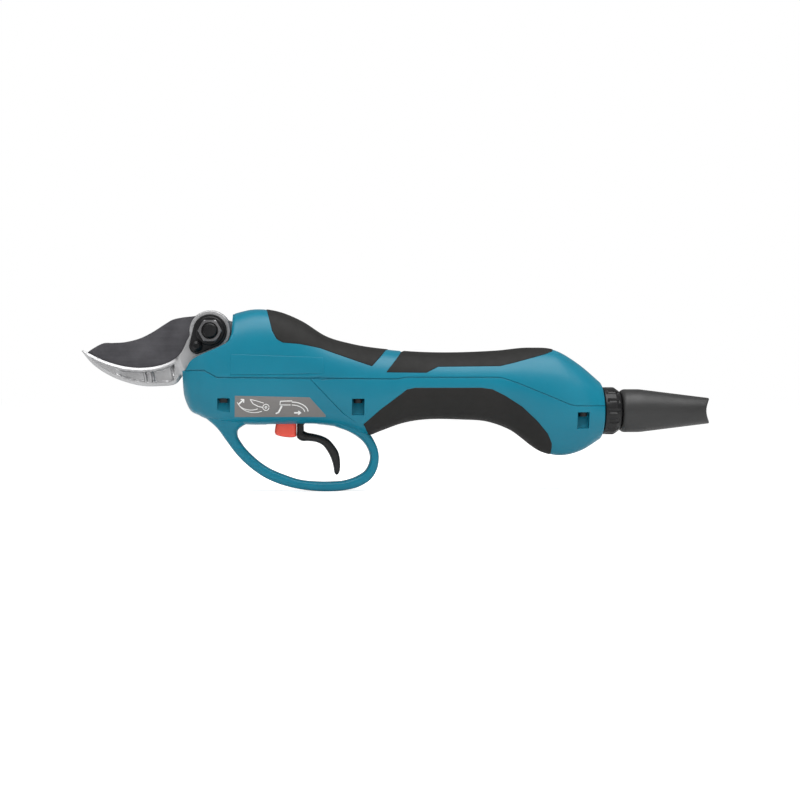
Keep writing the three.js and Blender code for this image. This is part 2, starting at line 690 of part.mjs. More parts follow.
class Helix extends THREE.Curve {
  constructor(x0, x1, radius, lead) {
    super();
    Object.assign(this, { x0, x1, radius, lead });
  }

  getPoint(share, target = new THREE.Vector3()) {
    const x = this.x0 + (this.x1 - this.x0) * share;
    const angle = 2 * Math.PI * (x - this.x0) / this.lead;
    return target.set(x, this.radius * Math.cos(angle), driveZ + this.radius * Math.sin(angle));
  }
}

function driveScrew() {
  const bearingFront = blockFront + 2;
  const body = turned([
    [screwTip, 0], [screwTip, screwRadius - 0.6], [screwTip + 0.6, screwRadius], [bearingFront, screwRadius],
    [bearingFront, screwRadius + 0.4], [carrierFront - seatGap, screwRadius + 0.4],
    [carrierFront - seatGap, 2.6], [carrierFront + 2.4, 2.6], [carrierFront + 2.4, 0],
  ]);
  const track = new Helix(screwTip - 1, blockFront - 0.5, screwRadius + 0.1, screwLead);
  return cut(body, tube(track, 0.9, 26, 2));
}

function screwBearing() {
  const front = blockFront + 2 + seatGap;
  return cut(barX(front, front + bearingWidth - 0.6, bearingRadius, driveZ, 0, 28),
    barX(front - 1, front + bearingWidth + 1, screwRadius + 0.4 + seatGap));
}

// A gear's outline in the YZ plane about the origin; "grow" turns it into the hole of an internal gear.
function gearOutline(teeth, phase, grow) {
  const pitch = gearModule * teeth / 2;
  const tip = pitch + gearModule * (grow ? toothDedendum : toothAddendum);
  const root = pitch - gearModule * (grow ? toothAddendum : toothDedendum);
  const slope = Math.tan(20 * degree);
  const half = Math.PI * gearModule / 4 + (grow ? 0.5 : -0.5) * toothBacklash;
  const points = [];
  for (let tooth = 0; tooth < teeth; tooth += 1) {
    const middle = phase + 2 * Math.PI * tooth / teeth;
    const tipHalf = (half - (tip - pitch) * slope) / tip;
    const pitchHalf = half / pitch;
    const rootHalf = Math.min((half + (pitch - root) * slope) / root, 0.92 * Math.PI / teeth);
    for (const [radius, angle] of [[root, -rootHalf], [pitch, -pitchHalf], [tip, -tipHalf],
      [tip, tipHalf], [pitch, pitchHalf], [root, rootHalf]]) {
      points.push([radius * Math.cos(middle + angle), radius * Math.sin(middle + angle)]);
    }
  }
  return points;
}

const planetAngle = (index) => Math.PI / 2 + 2 * Math.PI * index / planetCount;
const sunPhase = Math.PI / 2;
// A planet tooth gap faces each sun tooth, so its phase follows from where the sun's nearest tooth is.
const planetPhase = (index) => {
  const angle = planetAngle(index);
  return angle + Math.PI - (sunTeeth / planetTeeth) * (sunPhase - angle) + Math.PI / planetTeeth;
};
const ringPhase = (() => {
  const angle = planetAngle(0);
  return angle + (planetTeeth / ringTeeth) * (planetPhase(0) - angle);
})();

function gear(teeth, phase, x0, x1, y, z) {
  return prism(outline(shifted(gearOutline(teeth, phase, false), y, z)), x0, x1);
}

function planetGear(index) {
  const y = planetOrbit * Math.cos(planetAngle(index));
  const z = driveZ + planetOrbit * Math.sin(planetAngle(index));
  return cut(gear(planetTeeth, planetPhase(index), gearFront, gearRear, y, z),
    barX(gearFront - 1, gearRear + 1, 1.5 + turnGap, z, y, 12));
}

function planetCarrier() {
  const disc = barX(carrierFront, gearFront - slideGap, planetOrbit + 2.6, driveZ, 0, 28);
  const pins = Array.from({ length: planetCount }, (_, index) => {
    const [y, z] = [planetOrbit * Math.cos(planetAngle(index)), planetOrbit * Math.sin(planetAngle(index))];
    return barX(carrierFront + 1, gearRear, planetPinRadius, driveZ + z, y, 12);
  });
  return cut(join(disc, ...pins), barX(carrierFront - 1, gearFront + 1, 2.6 + seatGap, driveZ, 0, 20));
}

function gearCase() {
  const teeth = prism(outline(shifted(gearOutline(ringTeeth, ringPhase, true), 0, driveZ)),
    gearFront - slideGap, caseRear + 1);
  return cut(barX(caseFront, caseRear, caseRadius, driveZ, 0, 36), teeth,
    barX(carrierFront - slideGap, gearFront, planetOrbit + 2.6 + turnGap + 0.3, driveZ, 0, 28),
    barX(caseFront - 1, carrierFront, screwRadius + 0.4 + turnGap));
}

const shaftRadius = 1.6;

function sunPinion() {
  return cut(gear(sunTeeth, sunPhase, gearFront + 0.3, gearRear, 0, driveZ),
    barX(gearFront - 1, gearRear + 1, shaftRadius + 0.05, driveZ, 0, 16));
}

// ---------------------------------------------------------------- motor

const rotorFront = motorFront + 8;
const rotorRear = motorRear - 9;
const rotorRadius = motorRadius - 6.4;

function motorRotor() {
  return turned([
    [gearFront + 0.6, 0], [gearFront + 0.6, shaftRadius],
    [rotorFront, shaftRadius], [rotorFront, rotorRadius],
    [rotorRear, rotorRadius], [rotorRear, shaftRadius],
    [motorRear - 1.4, shaftRadius], [motorRear - 1.4, 0],
  ]);
}

function motorStator() {
  const core = cut(barX(rotorFront + 1, rotorRear - 1, motorRadius - 1.2 - seatGap, driveZ, 0, 36),
    barX(rotorFront, rotorRear, rotorRadius + 0.5, driveZ, 0, 36));
  const windings = Array.from({ length: 6 }, (_, index) => {
    const angle = (index + 0.5) * Math.PI / 3;
    const reach = (rotorRadius + motorRadius - 1.2) / 2 + 0.1;
    const [y, z] = [reach * Math.cos(angle), reach * Math.sin(angle)];
    return barX(rotorFront - 1, rotorRear + 1, windingRadius, driveZ + z, y, 8);
  });
  return join(core, ...windings);
}

function motorCan() {
  return cut(barX(motorFront, motorRear - 4, motorRadius, driveZ, 0, 36),
    barX(motorFront + 2, motorRear, motorRadius - 1.2, driveZ, 0, 36),
    barX(motorFront - 1, motorFront + 3, 4.4, driveZ, 0, 24));
}

function motorEndCap() {
  const disc = barX(motorRear - 4 + seatGap, motorRear, motorRadius - 0.6, driveZ, 0, 32);
  return cut(disc, barX(motorRear - 5, motorRear - 1.2, 4.4, driveZ, 0, 24));
}

function rotorBearing(front) {
  return cut(barX(front, front + 2.4, 4.2, driveZ, 0, 24),
    barX(front - 1, front + 4, shaftRadius + seatGap, driveZ, 0, 16));
}

// ---------------------------------------------------------------- electronics and wiring

const boardFront = motorRear + 4;
const boardRear = tailX - 24;
const boardZ = driveZ - 6;

function boardTray() {
  return cut(block(boardFront, boardRear, -9.5, 9.5, boardZ - 3, boardZ + 3),
    block(boardFront + 1.2, boardRear - 1.2, -8.3, 8.3, boardZ - 1.8, boardZ + 4));
}

function controlBoard() {
  const board = block(boardFront + 1.5, boardRear - 1.5, -8, 8, boardZ - 0.6, boardZ + 1);
  const capacitor = barX(boardRear - 16, boardRear - 4, 4, boardZ + 4.6, 0, 20);
  const chips = [0, 1, 2].map((index) => block(boardFront + 4 + index * 9, boardFront + 10 + index * 9,
    -6, 6, boardZ + 0.9, boardZ + 3.2));
  return join(board, capacitor, ...chips);
}

function sensorBoard() {
  const y = triggerHalfWidth + slideGap + 2.6;
  const board = block(triggerX - 4, triggerX + 7, y, y + 1.2, triggerZ + 1.2, triggerZ + 5.2);
  return join(board, block(triggerX + 3.6, triggerX + 6.6, y + 1.1, y + 2.3, triggerZ + 1.6, triggerZ + 4.6));
}

function powerLead(side) {
  const start = boardRear + 0.4;
  const path = new THREE.CatmullRomCurve3([
    new THREE.Vector3(start, side * 3.2, boardZ + 1),
    new THREE.Vector3(start + 5, side * 3.6, boardZ - 1.5),
    new THREE.Vector3(socketFront - 5, side * 3.2, cableZ + 0.8),
    new THREE.Vector3(socketFront - 0.4, side * contactPinSpread, cableZ),
  ]);
  return tube(path, 1.2, 8, 3);
}

// ---------------------------------------------------------------- trigger and lock lever

function crossPin(extra, x, z) {
  const half = triggerHalfWidth + slideGap + 2.1;
  return barY(-half, half, triggerPinRadius + extra, x, z, 16);
}

function trigger() {
  const outer = smooth([[triggerX - 2.2, -55.6], [triggerX + 3.3, -56.8], [triggerX + 7.8, -58],
    [triggerX + 13.6, -62], [triggerX + 17, -67], [triggerX + 18, -73], [triggerX + 17.2, -79]], 12);
  const inner = smooth([[triggerX + 15.6, -79.4], [triggerX + 14.4, -76], [triggerX + 12.4, -69.6],
    [triggerX + 9, -63.8], [triggerX + 4.4, -61.3], [triggerX - 6, -60.2]], 10);
  const finger = plate(outline([[triggerX - 6.1, -49.6], [triggerX - 2.2, -49.6], ...outer, ...inner]),
    -triggerHalfWidth, triggerHalfWidth);
  const hub = barY(-triggerHalfWidth, triggerHalfWidth, 3.6, triggerX, triggerZ, 24);
  const neck = plate(outline([
    [triggerX - 6.1, -50.4], [triggerX - 3.4, triggerZ],
    [triggerX + 2.6, triggerZ - 2], [triggerX - 2.2, -50.4],
  ]), -triggerHalfWidth, triggerHalfWidth);
  const horn = plate(outline([[triggerX, triggerZ + 2.4], [triggerX + 7.5, triggerZ + 2.2],
    [triggerX + 7.5, triggerZ - 1.8], [triggerX, triggerZ - 2.6]]), 1.4, triggerHalfWidth);
  const springGroove = cut(barY(-2.4, 1.2, 5.6, triggerX, triggerZ), barY(-3, 3, 3.6, triggerX, triggerZ));
  return cut(join(finger, hub, neck, horn), springGroove, crossPin(turnGap, triggerX, triggerZ),
    barY(triggerHalfWidth - 2, wide, 1.5 + seatGap, triggerX + 5.4, triggerZ + 0.2, 16));
}

function triggerMagnet() {
  return barY(triggerHalfWidth - 1.8, triggerHalfWidth, 1.5, triggerX + 5.4, triggerZ + 0.2, 16);
}

function lockLever() {
  const arm = plate(outline([
    [lockLeverX - 3.2, lockLeverZ - 1], [lockLeverX - 5.2, -51.2], [lockLeverX - 6, -56.1],
    [lockLeverX - 5.2, -57.9], [lockLeverX - 0.2, -58.9], [lockLeverX + 6, -59.3], [lockLeverX + 6, -51.4],
    [lockLeverX + 3.2, lockLeverZ - 1],
  ]), -lockLeverHalfWidth, lockLeverHalfWidth);
  const hub = barY(-lockLeverHalfWidth, lockLeverHalfWidth, 3.2, lockLeverX, lockLeverZ, 20);
  return cut(join(arm, hub), crossPin(turnGap, lockLeverX, lockLeverZ));
}

// The middle line of a coil spring's wire, wound about a line along Y.
class CoilPath extends THREE.Curve {
  constructor(x, z, radius, turns, y0, y1) {
    super();
    Object.assign(this, { x, z, radius, turns, y0, y1 });
  }

  getPoint(share, target = new THREE.Vector3()) {
    const angle = 2 * Math.PI * this.turns * share;
    return target.set(this.x + this.radius * Math.cos(angle), this.y0 + (this.y1 - this.y0) * share,
      this.z + this.radius * Math.sin(angle));
  }
}

const coilSpring = (x, z, radius, turns, y0, y1) => tube(
  new CoilPath(x, z, radius, turns, y0, y1), springWireRadius, turns * 9, 2);

// ---------------------------------------------------------------- cable end

const socketFront = tailX - 12;
const socketRear = tailX + 5.4;
const ringFront = tailX + 0.4;
const ringRear = ringFront + ringLength;
const bootFront = ringRear + 0.5;
const bootRear = bootFront + bootLength;

function socketRoom() {
  return barX(tailX - wallThickness - 1, tailX + 1, 10.4, cableZ, 0, 28);
}

function inletSocket() {
  const body = turned([
    [socketFront, 0], [socketFront, 10], [tailX - wallThickness - 0.4, 10], [socketRear, 10],
    [socketRear, plugRadius + 0.8], [socketFront + 3, plugRadius + 0.8], [socketFront + 3, 0],
  ], cableZ);
  const holeRadius = contactPinRadius + seatGap;
  const pinHoles = [-1, 1].map((side) => (
    barX(socketFront - 1, socketFront + 4, holeRadius, cableZ, side * contactPinSpread, 12)));
  return cut(body, ...pinHoles);
}

function contactPin(side) {
  return barX(socketFront + 0.1, socketFront + 9, contactPinRadius, cableZ, side * contactPinSpread, 12);
}

function plugBody() {
  const body = turned([
    [socketFront + 4, 0], [socketFront + 4, plugRadius], [socketRear + 0.5, plugRadius],
    [socketRear + 0.5, 9.8], [ringRear - 2.4, 9.8], [ringRear - 2.4, plugRadius - 0.6],
    [bootFront + 6, plugRadius - 0.6], [bootFront + 6, 0],
  ], cableZ);
  const boreRadius = contactPinRadius + turnGap;
  const contacts = [-1, 1].map((side) => (
    barX(socketFront + 3, socketFront + 11, boreRadius, cableZ, side * contactPinSpread, 12)));
  return cut(body, ...contacts, barX(socketFront + 14, bootFront + 7, bootBore - 1, cableZ, 0, 20));
}

function socketSeal() {
  return cut(barX(socketRear - 2.4, socketRear - 0.8, 10.9, cableZ, 0, 28),
    barX(socketRear - 4, socketRear + 1, 10 + 0.1, cableZ, 0, 28));
}

function couplingRing() {
  const ring = turned([
    [ringFront, 11.2], [ringFront, ringRadius], [ringRear - 3, ringRadius], [ringRear, ringRadius - 2.6],
    [ringRear, plugRadius + 0.2], [ringRear - 2, plugRadius + 0.2], [ringRear - 2, 11.2], [ringFront, 11.2],
  ], cableZ, 0, 36);
  const flutes = Array.from({ length: 12 }, (_, index) => {
    const angle = index * Math.PI / 6;
    return barX(ringFront + 2, ringRear - 1, 1, cableZ + ringRadius * Math.sin(angle),
      ringRadius * Math.cos(angle), 6);
  });
  return cut(ring, ...flutes);
}

function cableBoot() {
  const boot = turned([
    [bootFront, plugRadius], [bootFront, bootRadius - 1.4], [bootFront + 1.6, bootRadius],
    [bootFront + 11, bootRadius], [bootRear, bootEndRadius], [bootRear, bootBore + 0.6],
    [bootFront + 7, bootBore], [bootFront + 7, plugRadius], [bootFront, plugRadius],
  ], cableZ, 0, 32);
  const mouth = tube(new THREE.LineCurve3(new THREE.Vector3(bootRear + 3.4, -wide, cableZ),
    new THREE.Vector3(bootRear + 3.4, wide, cableZ)), 6, 1, 20);
  return cut(boot, mouth);
}

// ---------------------------------------------------------------- finishes

const finish = (color, roughness, metalness = 0) => () => new THREE.MeshStandardMaterial(
  { color, roughness, metalness });
const turquoise = finish(0x1b95ad, 0.42);
const rubber = finish(0x32302f, 0.8);
const polishedSteel = finish(0xc9cbcd, 0.28, 1);
const coatedSteel = finish(0x46444a, 0.42, 0.6);
const blackSteel = finish(0x1c1d1f, 0.4, 0.7);
const castAlloy = finish(0xb4b6b9, 0.5, 0.9);
const bronze = finish(0xa97c48, 0.45, 0.9);
const gearSteel = finish(0x9b9da0, 0.35, 1);
const blackPlastic = finish(0x1d1d1e, 0.5);
const redPlastic = finish(0xd83a2c, 0.4);
const labelGrey = finish(0x7a7574, 0.55);
const springSteel = finish(0x8c8e92, 0.3, 1);
const copper = finish(0xb8693a, 0.4, 0.9);
const boardGreen = finish(0x1f5a3a, 0.6);
const redLead = finish(0xa82420, 0.6);
const seal = finish(0x181818, 0.7);

// ---------------------------------------------------------------- assembly

const pruner = new THREE.Group();

function piece(name, body, material) {
  const mesh = new THREE.Mesh(geometryOf(body), material());
  mesh.name = name;
  pruner.add(mesh);
}

piece('counter_blade', counterBlade(), polishedSteel);
piece('cutting_blade', cuttingBlade(), coatedSteel);
piece('head_frame', headFrame(), castAlloy);
piece('pivot_bushing', pivotBushing(), bronze);
piece('pivot_bolt', pivotBolt(), blackSteel);
piece('pivot_nut', pivotNut(), blackSteel);
piece('lock_plate', lockPlate(), blackSteel);
piece('lock_screw', lockScrew(), blackSteel);
bladeScrewX.forEach((x, index) => piece(`blade_screw_${index + 1}`, bladeScrew(x), blackSteel));

piece('drive_pin', drivePin(), gearSteel);
piece('nut_carriage', nutCarriage(), gearSteel);
piece('drive_screw', driveScrew(), gearSteel);
piece('screw_bearing', screwBearing(), gearSteel);
piece('planet_carrier', planetCarrier(), gearSteel);
for (let index = 0; index < planetCount; index += 1) {
  piece(`planet_gear_${index + 1}`, planetGear(index), gearSteel);
}
piece('sun_pinion', sunPinion(), gearSteel);
piece('gear_case', gearCase(), castAlloy);
piece('motor_rotor', motorRotor(), gearSteel);
piece('motor_stator', motorStator(), copper);
piece('motor_can', motorCan(), blackSteel);
piece('motor_end_cap', motorEndCap(), castAlloy);
piece('rotor_bearing_front', rotorBearing(motorFront + 0.2), gearSteel);
piece('rotor_bearing_rear', rotorBearing(motorRear - 3.8), gearSteel);

piece('board_tray', boardTray(), blackPlastic);
piece('control_board', controlBoard(), boardGreen);
piece('sensor_board', sensorBoard(), boardGreen);
piece('power_lead_positive', powerLead(-1), redLead);
piece('power_lead_negative', powerLead(1), seal);

piece('trigger', trigger(), blackPlastic);
piece('trigger_pin', crossPin(0, triggerX, triggerZ), gearSteel);
piece('trigger_spring', coilSpring(triggerX, triggerZ, 4.6, 2, -1.9, 0.7), springSteel);
piece('trigger_magnet', triggerMagnet(), gearSteel);
piece('lock_lever', lockLever(), redPlastic);
piece('lock_pin', crossPin(0, lockLeverX, lockLeverZ), gearSteel);
piece('lock_spring', coilSpring(lockLeverX, lockLeverZ + 6.4, 2.2, 3, -3, 3), springSteel);

piece('upper_housing', upperHousing(), turquoise);
piece('lower_front_housing', lowerFrontHousing(), turquoise);
piece('lower_rear_housing', lowerRearHousing(), turquoise);
piece('front_top_pad', gripPad(frontPadEdge), rubber);
piece('rear_top_pad', gripPad(rearPadEdge), rubber);
piece('lower_grip_pad', gripPad(lowerPadEdge), rubber);
piece('label_plate_near', labelPlate(-1), labelGrey);
piece('label_plate_far', labelPlate(1), labelGrey);
screwPosts.forEach((post, index) => piece(`housing_screw_${index + 1}`, housingScrew(post), blackSteel));

piece('inlet_socket', inletSocket(), blackPlastic);
piece('contact_pin_positive', contactPin(-1), copper);
piece('contact_pin_negative', contactPin(1), copper);
piece('socket_seal', socketSeal(), seal);
piece('plug_body', plugBody(), blackPlastic);
piece('coupling_ring', couplingRing(), blackPlastic);
piece('cable_boot', cableBoot(), rubber);

const middle = new THREE.Box3().setFromObject(pruner).getCenter(new THREE.Vector3());
for (const mesh of pruner.children) mesh.position.copy(middle).negate();

export default pruner;
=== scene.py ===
import math

import bpy
import numpy as np
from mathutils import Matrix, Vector


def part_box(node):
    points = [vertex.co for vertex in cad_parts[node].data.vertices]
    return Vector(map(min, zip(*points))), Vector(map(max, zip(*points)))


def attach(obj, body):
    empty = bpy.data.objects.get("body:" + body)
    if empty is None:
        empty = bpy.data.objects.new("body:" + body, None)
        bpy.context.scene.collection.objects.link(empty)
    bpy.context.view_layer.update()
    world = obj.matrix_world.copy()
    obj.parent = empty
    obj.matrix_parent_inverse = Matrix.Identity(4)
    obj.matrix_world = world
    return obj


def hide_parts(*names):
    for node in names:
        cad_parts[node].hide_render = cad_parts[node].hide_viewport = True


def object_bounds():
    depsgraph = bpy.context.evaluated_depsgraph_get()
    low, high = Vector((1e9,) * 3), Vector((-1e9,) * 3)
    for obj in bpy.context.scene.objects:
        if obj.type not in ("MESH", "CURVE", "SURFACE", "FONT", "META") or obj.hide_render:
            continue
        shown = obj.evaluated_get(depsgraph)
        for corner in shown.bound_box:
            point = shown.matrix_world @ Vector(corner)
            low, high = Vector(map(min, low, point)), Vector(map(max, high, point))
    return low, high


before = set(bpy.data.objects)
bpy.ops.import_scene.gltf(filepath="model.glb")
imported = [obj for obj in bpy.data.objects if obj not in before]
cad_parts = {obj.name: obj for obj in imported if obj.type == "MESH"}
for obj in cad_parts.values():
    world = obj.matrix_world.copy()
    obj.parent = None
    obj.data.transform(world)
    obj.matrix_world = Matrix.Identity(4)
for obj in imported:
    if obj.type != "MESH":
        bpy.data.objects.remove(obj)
cadLow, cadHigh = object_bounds()
print("frame loaded:", len(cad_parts), "nodes")


# the middle of a CAD node's box, as an array in metres
def middleOf(node):
    low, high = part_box(node)
    return (np.array(low) + np.array(high)) / 2


# shapes below are in millimetres from the pivot; metres() puts them in the row's frame
mm = 0.001
pivot = middleOf("pivot_nut")
pivot[1] = middleOf("cutting_blade")[1]


def metres(points):
    return np.asarray(points, float) * mm + pivot


def fromPivot(point):
    return (np.array(point) - pivot) / mm


nodeBox = {name: (fromPivot(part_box(name)[0]), fromPivot(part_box(name)[1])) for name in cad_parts}
tailX = nodeBox["upper_housing"][1][0]
gripStart = tailX - 119.5
cableZ = float(fromPivot(middleOf("coupling_ring"))[2])


def grip(share):
    return gripStart + share * (tailX - gripStart)


# ---- curves

# a smooth height through (x, height) points: a cubic between neighbours, its slope at each point
# being the mean of the two chords weighted by the other's length
def contour(points):
    xs, ys = np.array(points, float).T
    gaps = np.diff(xs)
    chords = np.diff(ys) / gaps
    slopes = np.empty(len(xs))
    slopes[1:-1] = (gaps[1:] * chords[:-1] + gaps[:-1] * chords[1:]) / (gaps[:-1] + gaps[1:])
    slopes[0], slopes[-1] = chords[0], chords[-1]

    def height(x):
        x = np.clip(x, xs[0], xs[-1])
        k = np.clip(np.searchsorted(xs, x) - 1, 0, len(gaps) - 1)
        t = (x - xs[k]) / gaps[k]
        return ((1 + 2 * t) * (1 - t) ** 2 * ys[k] + t * (1 - t) ** 2 * gaps[k] * slopes[k]
                + t * t * (3 - 2 * t) * ys[k + 1] + t * t * (t - 1) * gaps[k] * slopes[k + 1])

    return height


# rows of numbers at shares of the distance along their first two columns, with straight lines between
def straightRows(rows, shares, power=1.0):
    rows = np.array(rows, float)
    steps = np.hypot(*np.diff(rows[:, :2], axis=0).T) ** power
    along = np.concatenate([[0], np.cumsum(steps)]) / steps.sum()
    return np.stack([np.interp(shares, along, column) for column in rows.T], -1)


# a closed line with its corners rounded: each is a parabola between points a little way along both sides
def rounded(corners, radius, steps=5):
    corners = np.array(corners, float)
    line = []
    for before, corner, after in zip(np.roll(corners, 1, 0), corners, np.roll(corners, -1, 0)):
        a, b = before - corner, after - corner
        reach = min(radius, 0.45 * np.hypot(*a), 0.45 * np.hypot(*b))
        start, end = corner + a / np.hypot(*a) * reach, corner + b / np.hypot(*b) * reach
        t = np.linspace(0, 1, steps)[:, None]
        line.append((1 - t) ** 2 * start + 2 * t * (1 - t) * corner + t * t * end)
    return np.concatenate(line)


# 0 below low, 1 above high, and a smooth step between them
def ease(value, low, high):
    t = np.clip((value - low) / (high - low), 0, 1)
    return t * t * (3 - 2 * t)


# how far (x, z) points are inside a closed outline, in millimetres; negative outside
def insideBy(x, z, outline):
    corners = np.array(outline, float)
    ends = np.roll(corners, -1, axis=0)
    nearest = np.full(np.shape(x), 1e9)
    inside = np.zeros(np.shape(x), bool)
    for (ax, az), (bx, bz) in zip(corners, ends):
        dx, dz = bx - ax, bz - az
        t = np.clip(((x - ax) * dx + (z - az) * dz) / (dx * dx + dz * dz + 1e-12), 0, 1)
        nearest = np.minimum(nearest, np.hypot(x - ax - t * dx, z - az - t * dz))
        crosses = (az > z) != (bz > z)
        inside ^= crosses & (x < ax + (z - az) * dx / (dz if abs(dz) > 1e-9 else 1e-9))
    return np.where(inside, nearest, -nearest)


# ---- meshes

# faces between neighbouring points of a grid of vertex numbers
def quads(numbers):
    four = [numbers[:-1, :-1], numbers[1:, :-1], numbers[1:, 1:], numbers[:-1, 1:]]
    return np.stack(four, -1).reshape(-1, 4)


def borderOf(numbers):
    return np.concatenate([numbers[:-1, 0], numbers[-1, :-1], numbers[:0:-1, -1], numbers[0, :0:-1]])


# a mesh object from points in millimetres, with its faces turned outwards by its signed volume
def makeObject(name, points, faces, sharpAngle=35):
    points = metres(points)
    faces = [list(dict.fromkeys(map(int, face))) for face in faces]
    faces = [face for face in faces if len(face) > 2]
    corners = np.array([face[:3] for face in faces])
    a, b, c = (points[corners[:, k]] - points.mean(0) for k in range(3))
    fourth = np.array([face[3] if len(face) > 3 else face[2] for face in faces])
    d = points[fourth] - points.mean(0)
    volume = np.einsum("ij,ij->", a, np.cross(b, c)) + np.einsum("ij,ij->", a, np.cross(c, d))
    if volume < 0:
        faces = [face[::-1] for face in faces]
    mesh = bpy.data.meshes.new(name)
    mesh.from_pydata(points.tolist(), [], faces)
    mesh.validate()
    mesh.shade_smooth()
    mesh.set_sharp_from_angle(angle=math.radians(sharpAngle))
    thing = bpy.data.objects.new(name, mesh)
    bpy.context.scene.collection.objects.link(thing)
    return thing


# a closed body between a front and a back grid of the same size, with a wall round their borders
def closedBody(front, back):
    rows, columns = front.shape[:2]
    number = np.arange(rows * columns).reshape(rows, columns)
    behind = number + rows * columns
    rim, rimBehind = borderOf(number), borderOf(behind)
    wall = np.stack([rim, rimBehind, np.roll(rimBehind, -1), np.roll(rim, -1)], -1)
    points = np.concatenate([front.reshape(-1, 3), back.reshape(-1, 3)])
    return points, np.concatenate([quads(number), quads(behind)[:, ::-1], wall])


# a body wound round a loop of stations: rings[i, j] with j going round; the ends close on a middle point
def ringBody(rings, closeEnds=True, loop=False):
    stations, sides = rings.shape[:2]
    number = np.arange(stations * sides).reshape(stations, sides)
    number = np.concatenate([number, number[:, :1]], 1)
    if loop:
        number = np.concatenate([number, number[:1]], 0)
    faces = quads(number).tolist()
    points = rings.reshape(-1, 3)
    if closeEnds and not loop:
        first, last = stations * sides, stations * sides + 1
        points = np.concatenate([points, [rings[0].mean(0)], [rings[-1].mean(0)]])
        faces += [[first, a, b] for a, b in zip(number[0, :-1], number[0, 1:])]
        faces += [[last, b, a] for a, b in zip(number[-1, :-1], number[-1, 1:])]
    return points, faces


# turned about a line along X: profile rows are (x, radius); reshape(x, radius, angle) may alter the radius
def turnedX(profile, y, z, sides=96, reshape=None, loop=False):
    profile = np.array(profile, float)
    angle = np.linspace(0, 2 * np.pi, sides, endpoint=False)
    x = np.repeat(profile[:, :1], sides, 1)
    radius = np.repeat(profile[:, 1:2], sides, 1)
    if reshape:
        x, radius = reshape(x, radius, angle[None, :])
    rings = np.stack([x, y + radius * np.cos(angle), z + radius * np.sin(angle)], -1)
    return ringBody(rings, loop=loop)


# turned about a line along Y: profile rows are (y, radius)
def turnedY(profile, x, z, sides=72, reshape=None, loop=False):
    profile = np.array(profile, float)
    angle = np.linspace(0, 2 * np.pi, sides, endpoint=False)
    y = np.repeat(profile[:, :1], sides, 1)
    radius = np.repeat(profile[:, 1:2], sides, 1)
    if reshape:
        y, radius = reshape(y, radius, angle[None, :])
    rings = np.stack([x + radius * np.cos(angle), y, z + radius * np.sin(angle)], -1)
    return ringBody(rings, loop=loop)


# an applied boolean: what is left of a body when the cutters are taken from it
def cutAway(thing, *cutters, sharpAngle=35):
    for cutter in cutters:
        modifier = thing.modifiers.new("cut", "BOOLEAN")
        modifier.operation = "DIFFERENCE"
        modifier.solver = "EXACT"
        modifier.object = cutter
    finished = bpy.data.meshes.new_from_object(
        thing.evaluated_get(bpy.context.evaluated_depsgraph_get()))
    thing.modifiers.clear()
    old = thing.data
    thing.data = finished
    finished.name = old.name
    bpy.data.meshes.remove(old)
    thing.data.shade_smooth()
    thing.data.set_sharp_from_angle(angle=math.radians(sharpAngle))
    for cutter in cutters:
        bpy.data.meshes.remove(cutter.data)
    return thing


# a block between two corners, in millimetres, as a cutter or a plain inner piece
def blockObject(name, low, high):
    corners = np.array([[(low, high)[i][0], (low, high)[j][1], (low, high)[k][2]]
                        for i in (0, 1) for j in (0, 1) for k in (0, 1)])
    faces = [[0, 1, 3, 2], [4, 6, 7, 5], [0, 4, 5, 1], [2, 3, 7, 6], [0, 2, 6, 4], [1, 5, 7, 3]]
    return makeObject(name, corners, faces)


def barObject(name, radius, y0, y1, x, z, sides=48):
    return makeObject(name, *turnedY([[y0, radius], [y1, radius]], x, z, sides))


# gives a finished piece its body and material, and hides the nodes it stands for
def settle(thing, body, slotName, material, *nodes):
    thing.data.materials.clear()
    thing.data.materials.append(material)
    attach(thing, body)
    if nodes:
        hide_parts(*nodes)
    return thing


# ---- the body's outer form

body = {
    "noseFront": -16.0,
    "noseHalf": 21.0,
    "gripTop": -10.3,
    "gripBottom": -48.7,
    "gripHalf": 18.2,
    "tailHalf": 20.5,
    "tailRadius": 15.5,
    "wall": 2.2,
    "seamGap": 0.24,
    "lip": 0.32,
}
nose, top, bottom = body["noseFront"], body["gripTop"], body["gripBottom"]
noseHalf, gripHalf, tailHalf = body["noseHalf"], body["gripHalf"], body["tailHalf"]
topLine = contour([
    [nose - 2, 2], [12, 9.6], [24, 12.3], [37, 11.1], [50, 6], [64, -2.6], [78, top + 3.6],
    [gripStart, top + 0.4], [grip(0.5), top], [grip(0.66), top + 1.7], [grip(0.78), top + 0.4],
    [grip(0.89), top - 7.2],
    [tailX, cableZ + body["tailRadius"]]])
bottomLine = contour([
    [nose, -31], [nose + 3.8, -41.6], [nose + 10, -46.5], [nose + 18, -49.6],
    [20, -51.5], [40, -51.5], [60, -51.5], [74, -53.6], [88, -57.4], [94, -55.2],
    [106, bottom - 2.2], [grip(0.34), bottom], [grip(0.46), bottom - 1.2], [grip(0.56), bottom - 5.4],
    [grip(0.72), bottom - 18.4], [grip(0.79), bottom - 20.4],
    [grip(0.9), bottom - 18], [tailX, cableZ - body["tailRadius"]]])
sideLine = contour([
    [nose, noseHalf - 10], [nose + 3, noseHalf - 5.6], [nose + 9, noseHalf - 2.2],
    [nose + 20, noseHalf - 0.4], [30, noseHalf], [60, noseHalf - 0.6],
    [gripStart, gripHalf], [grip(0.45), gripHalf], [grip(0.82), tailHalf],
    [grip(0.92), tailHalf - 1.6], [tailX, body["tailRadius"]]])
squareness = contour([[nose, 2.5], [30, 2.8], [80, 2.5], [gripStart + 10, 2.2], [tailX, 2]])


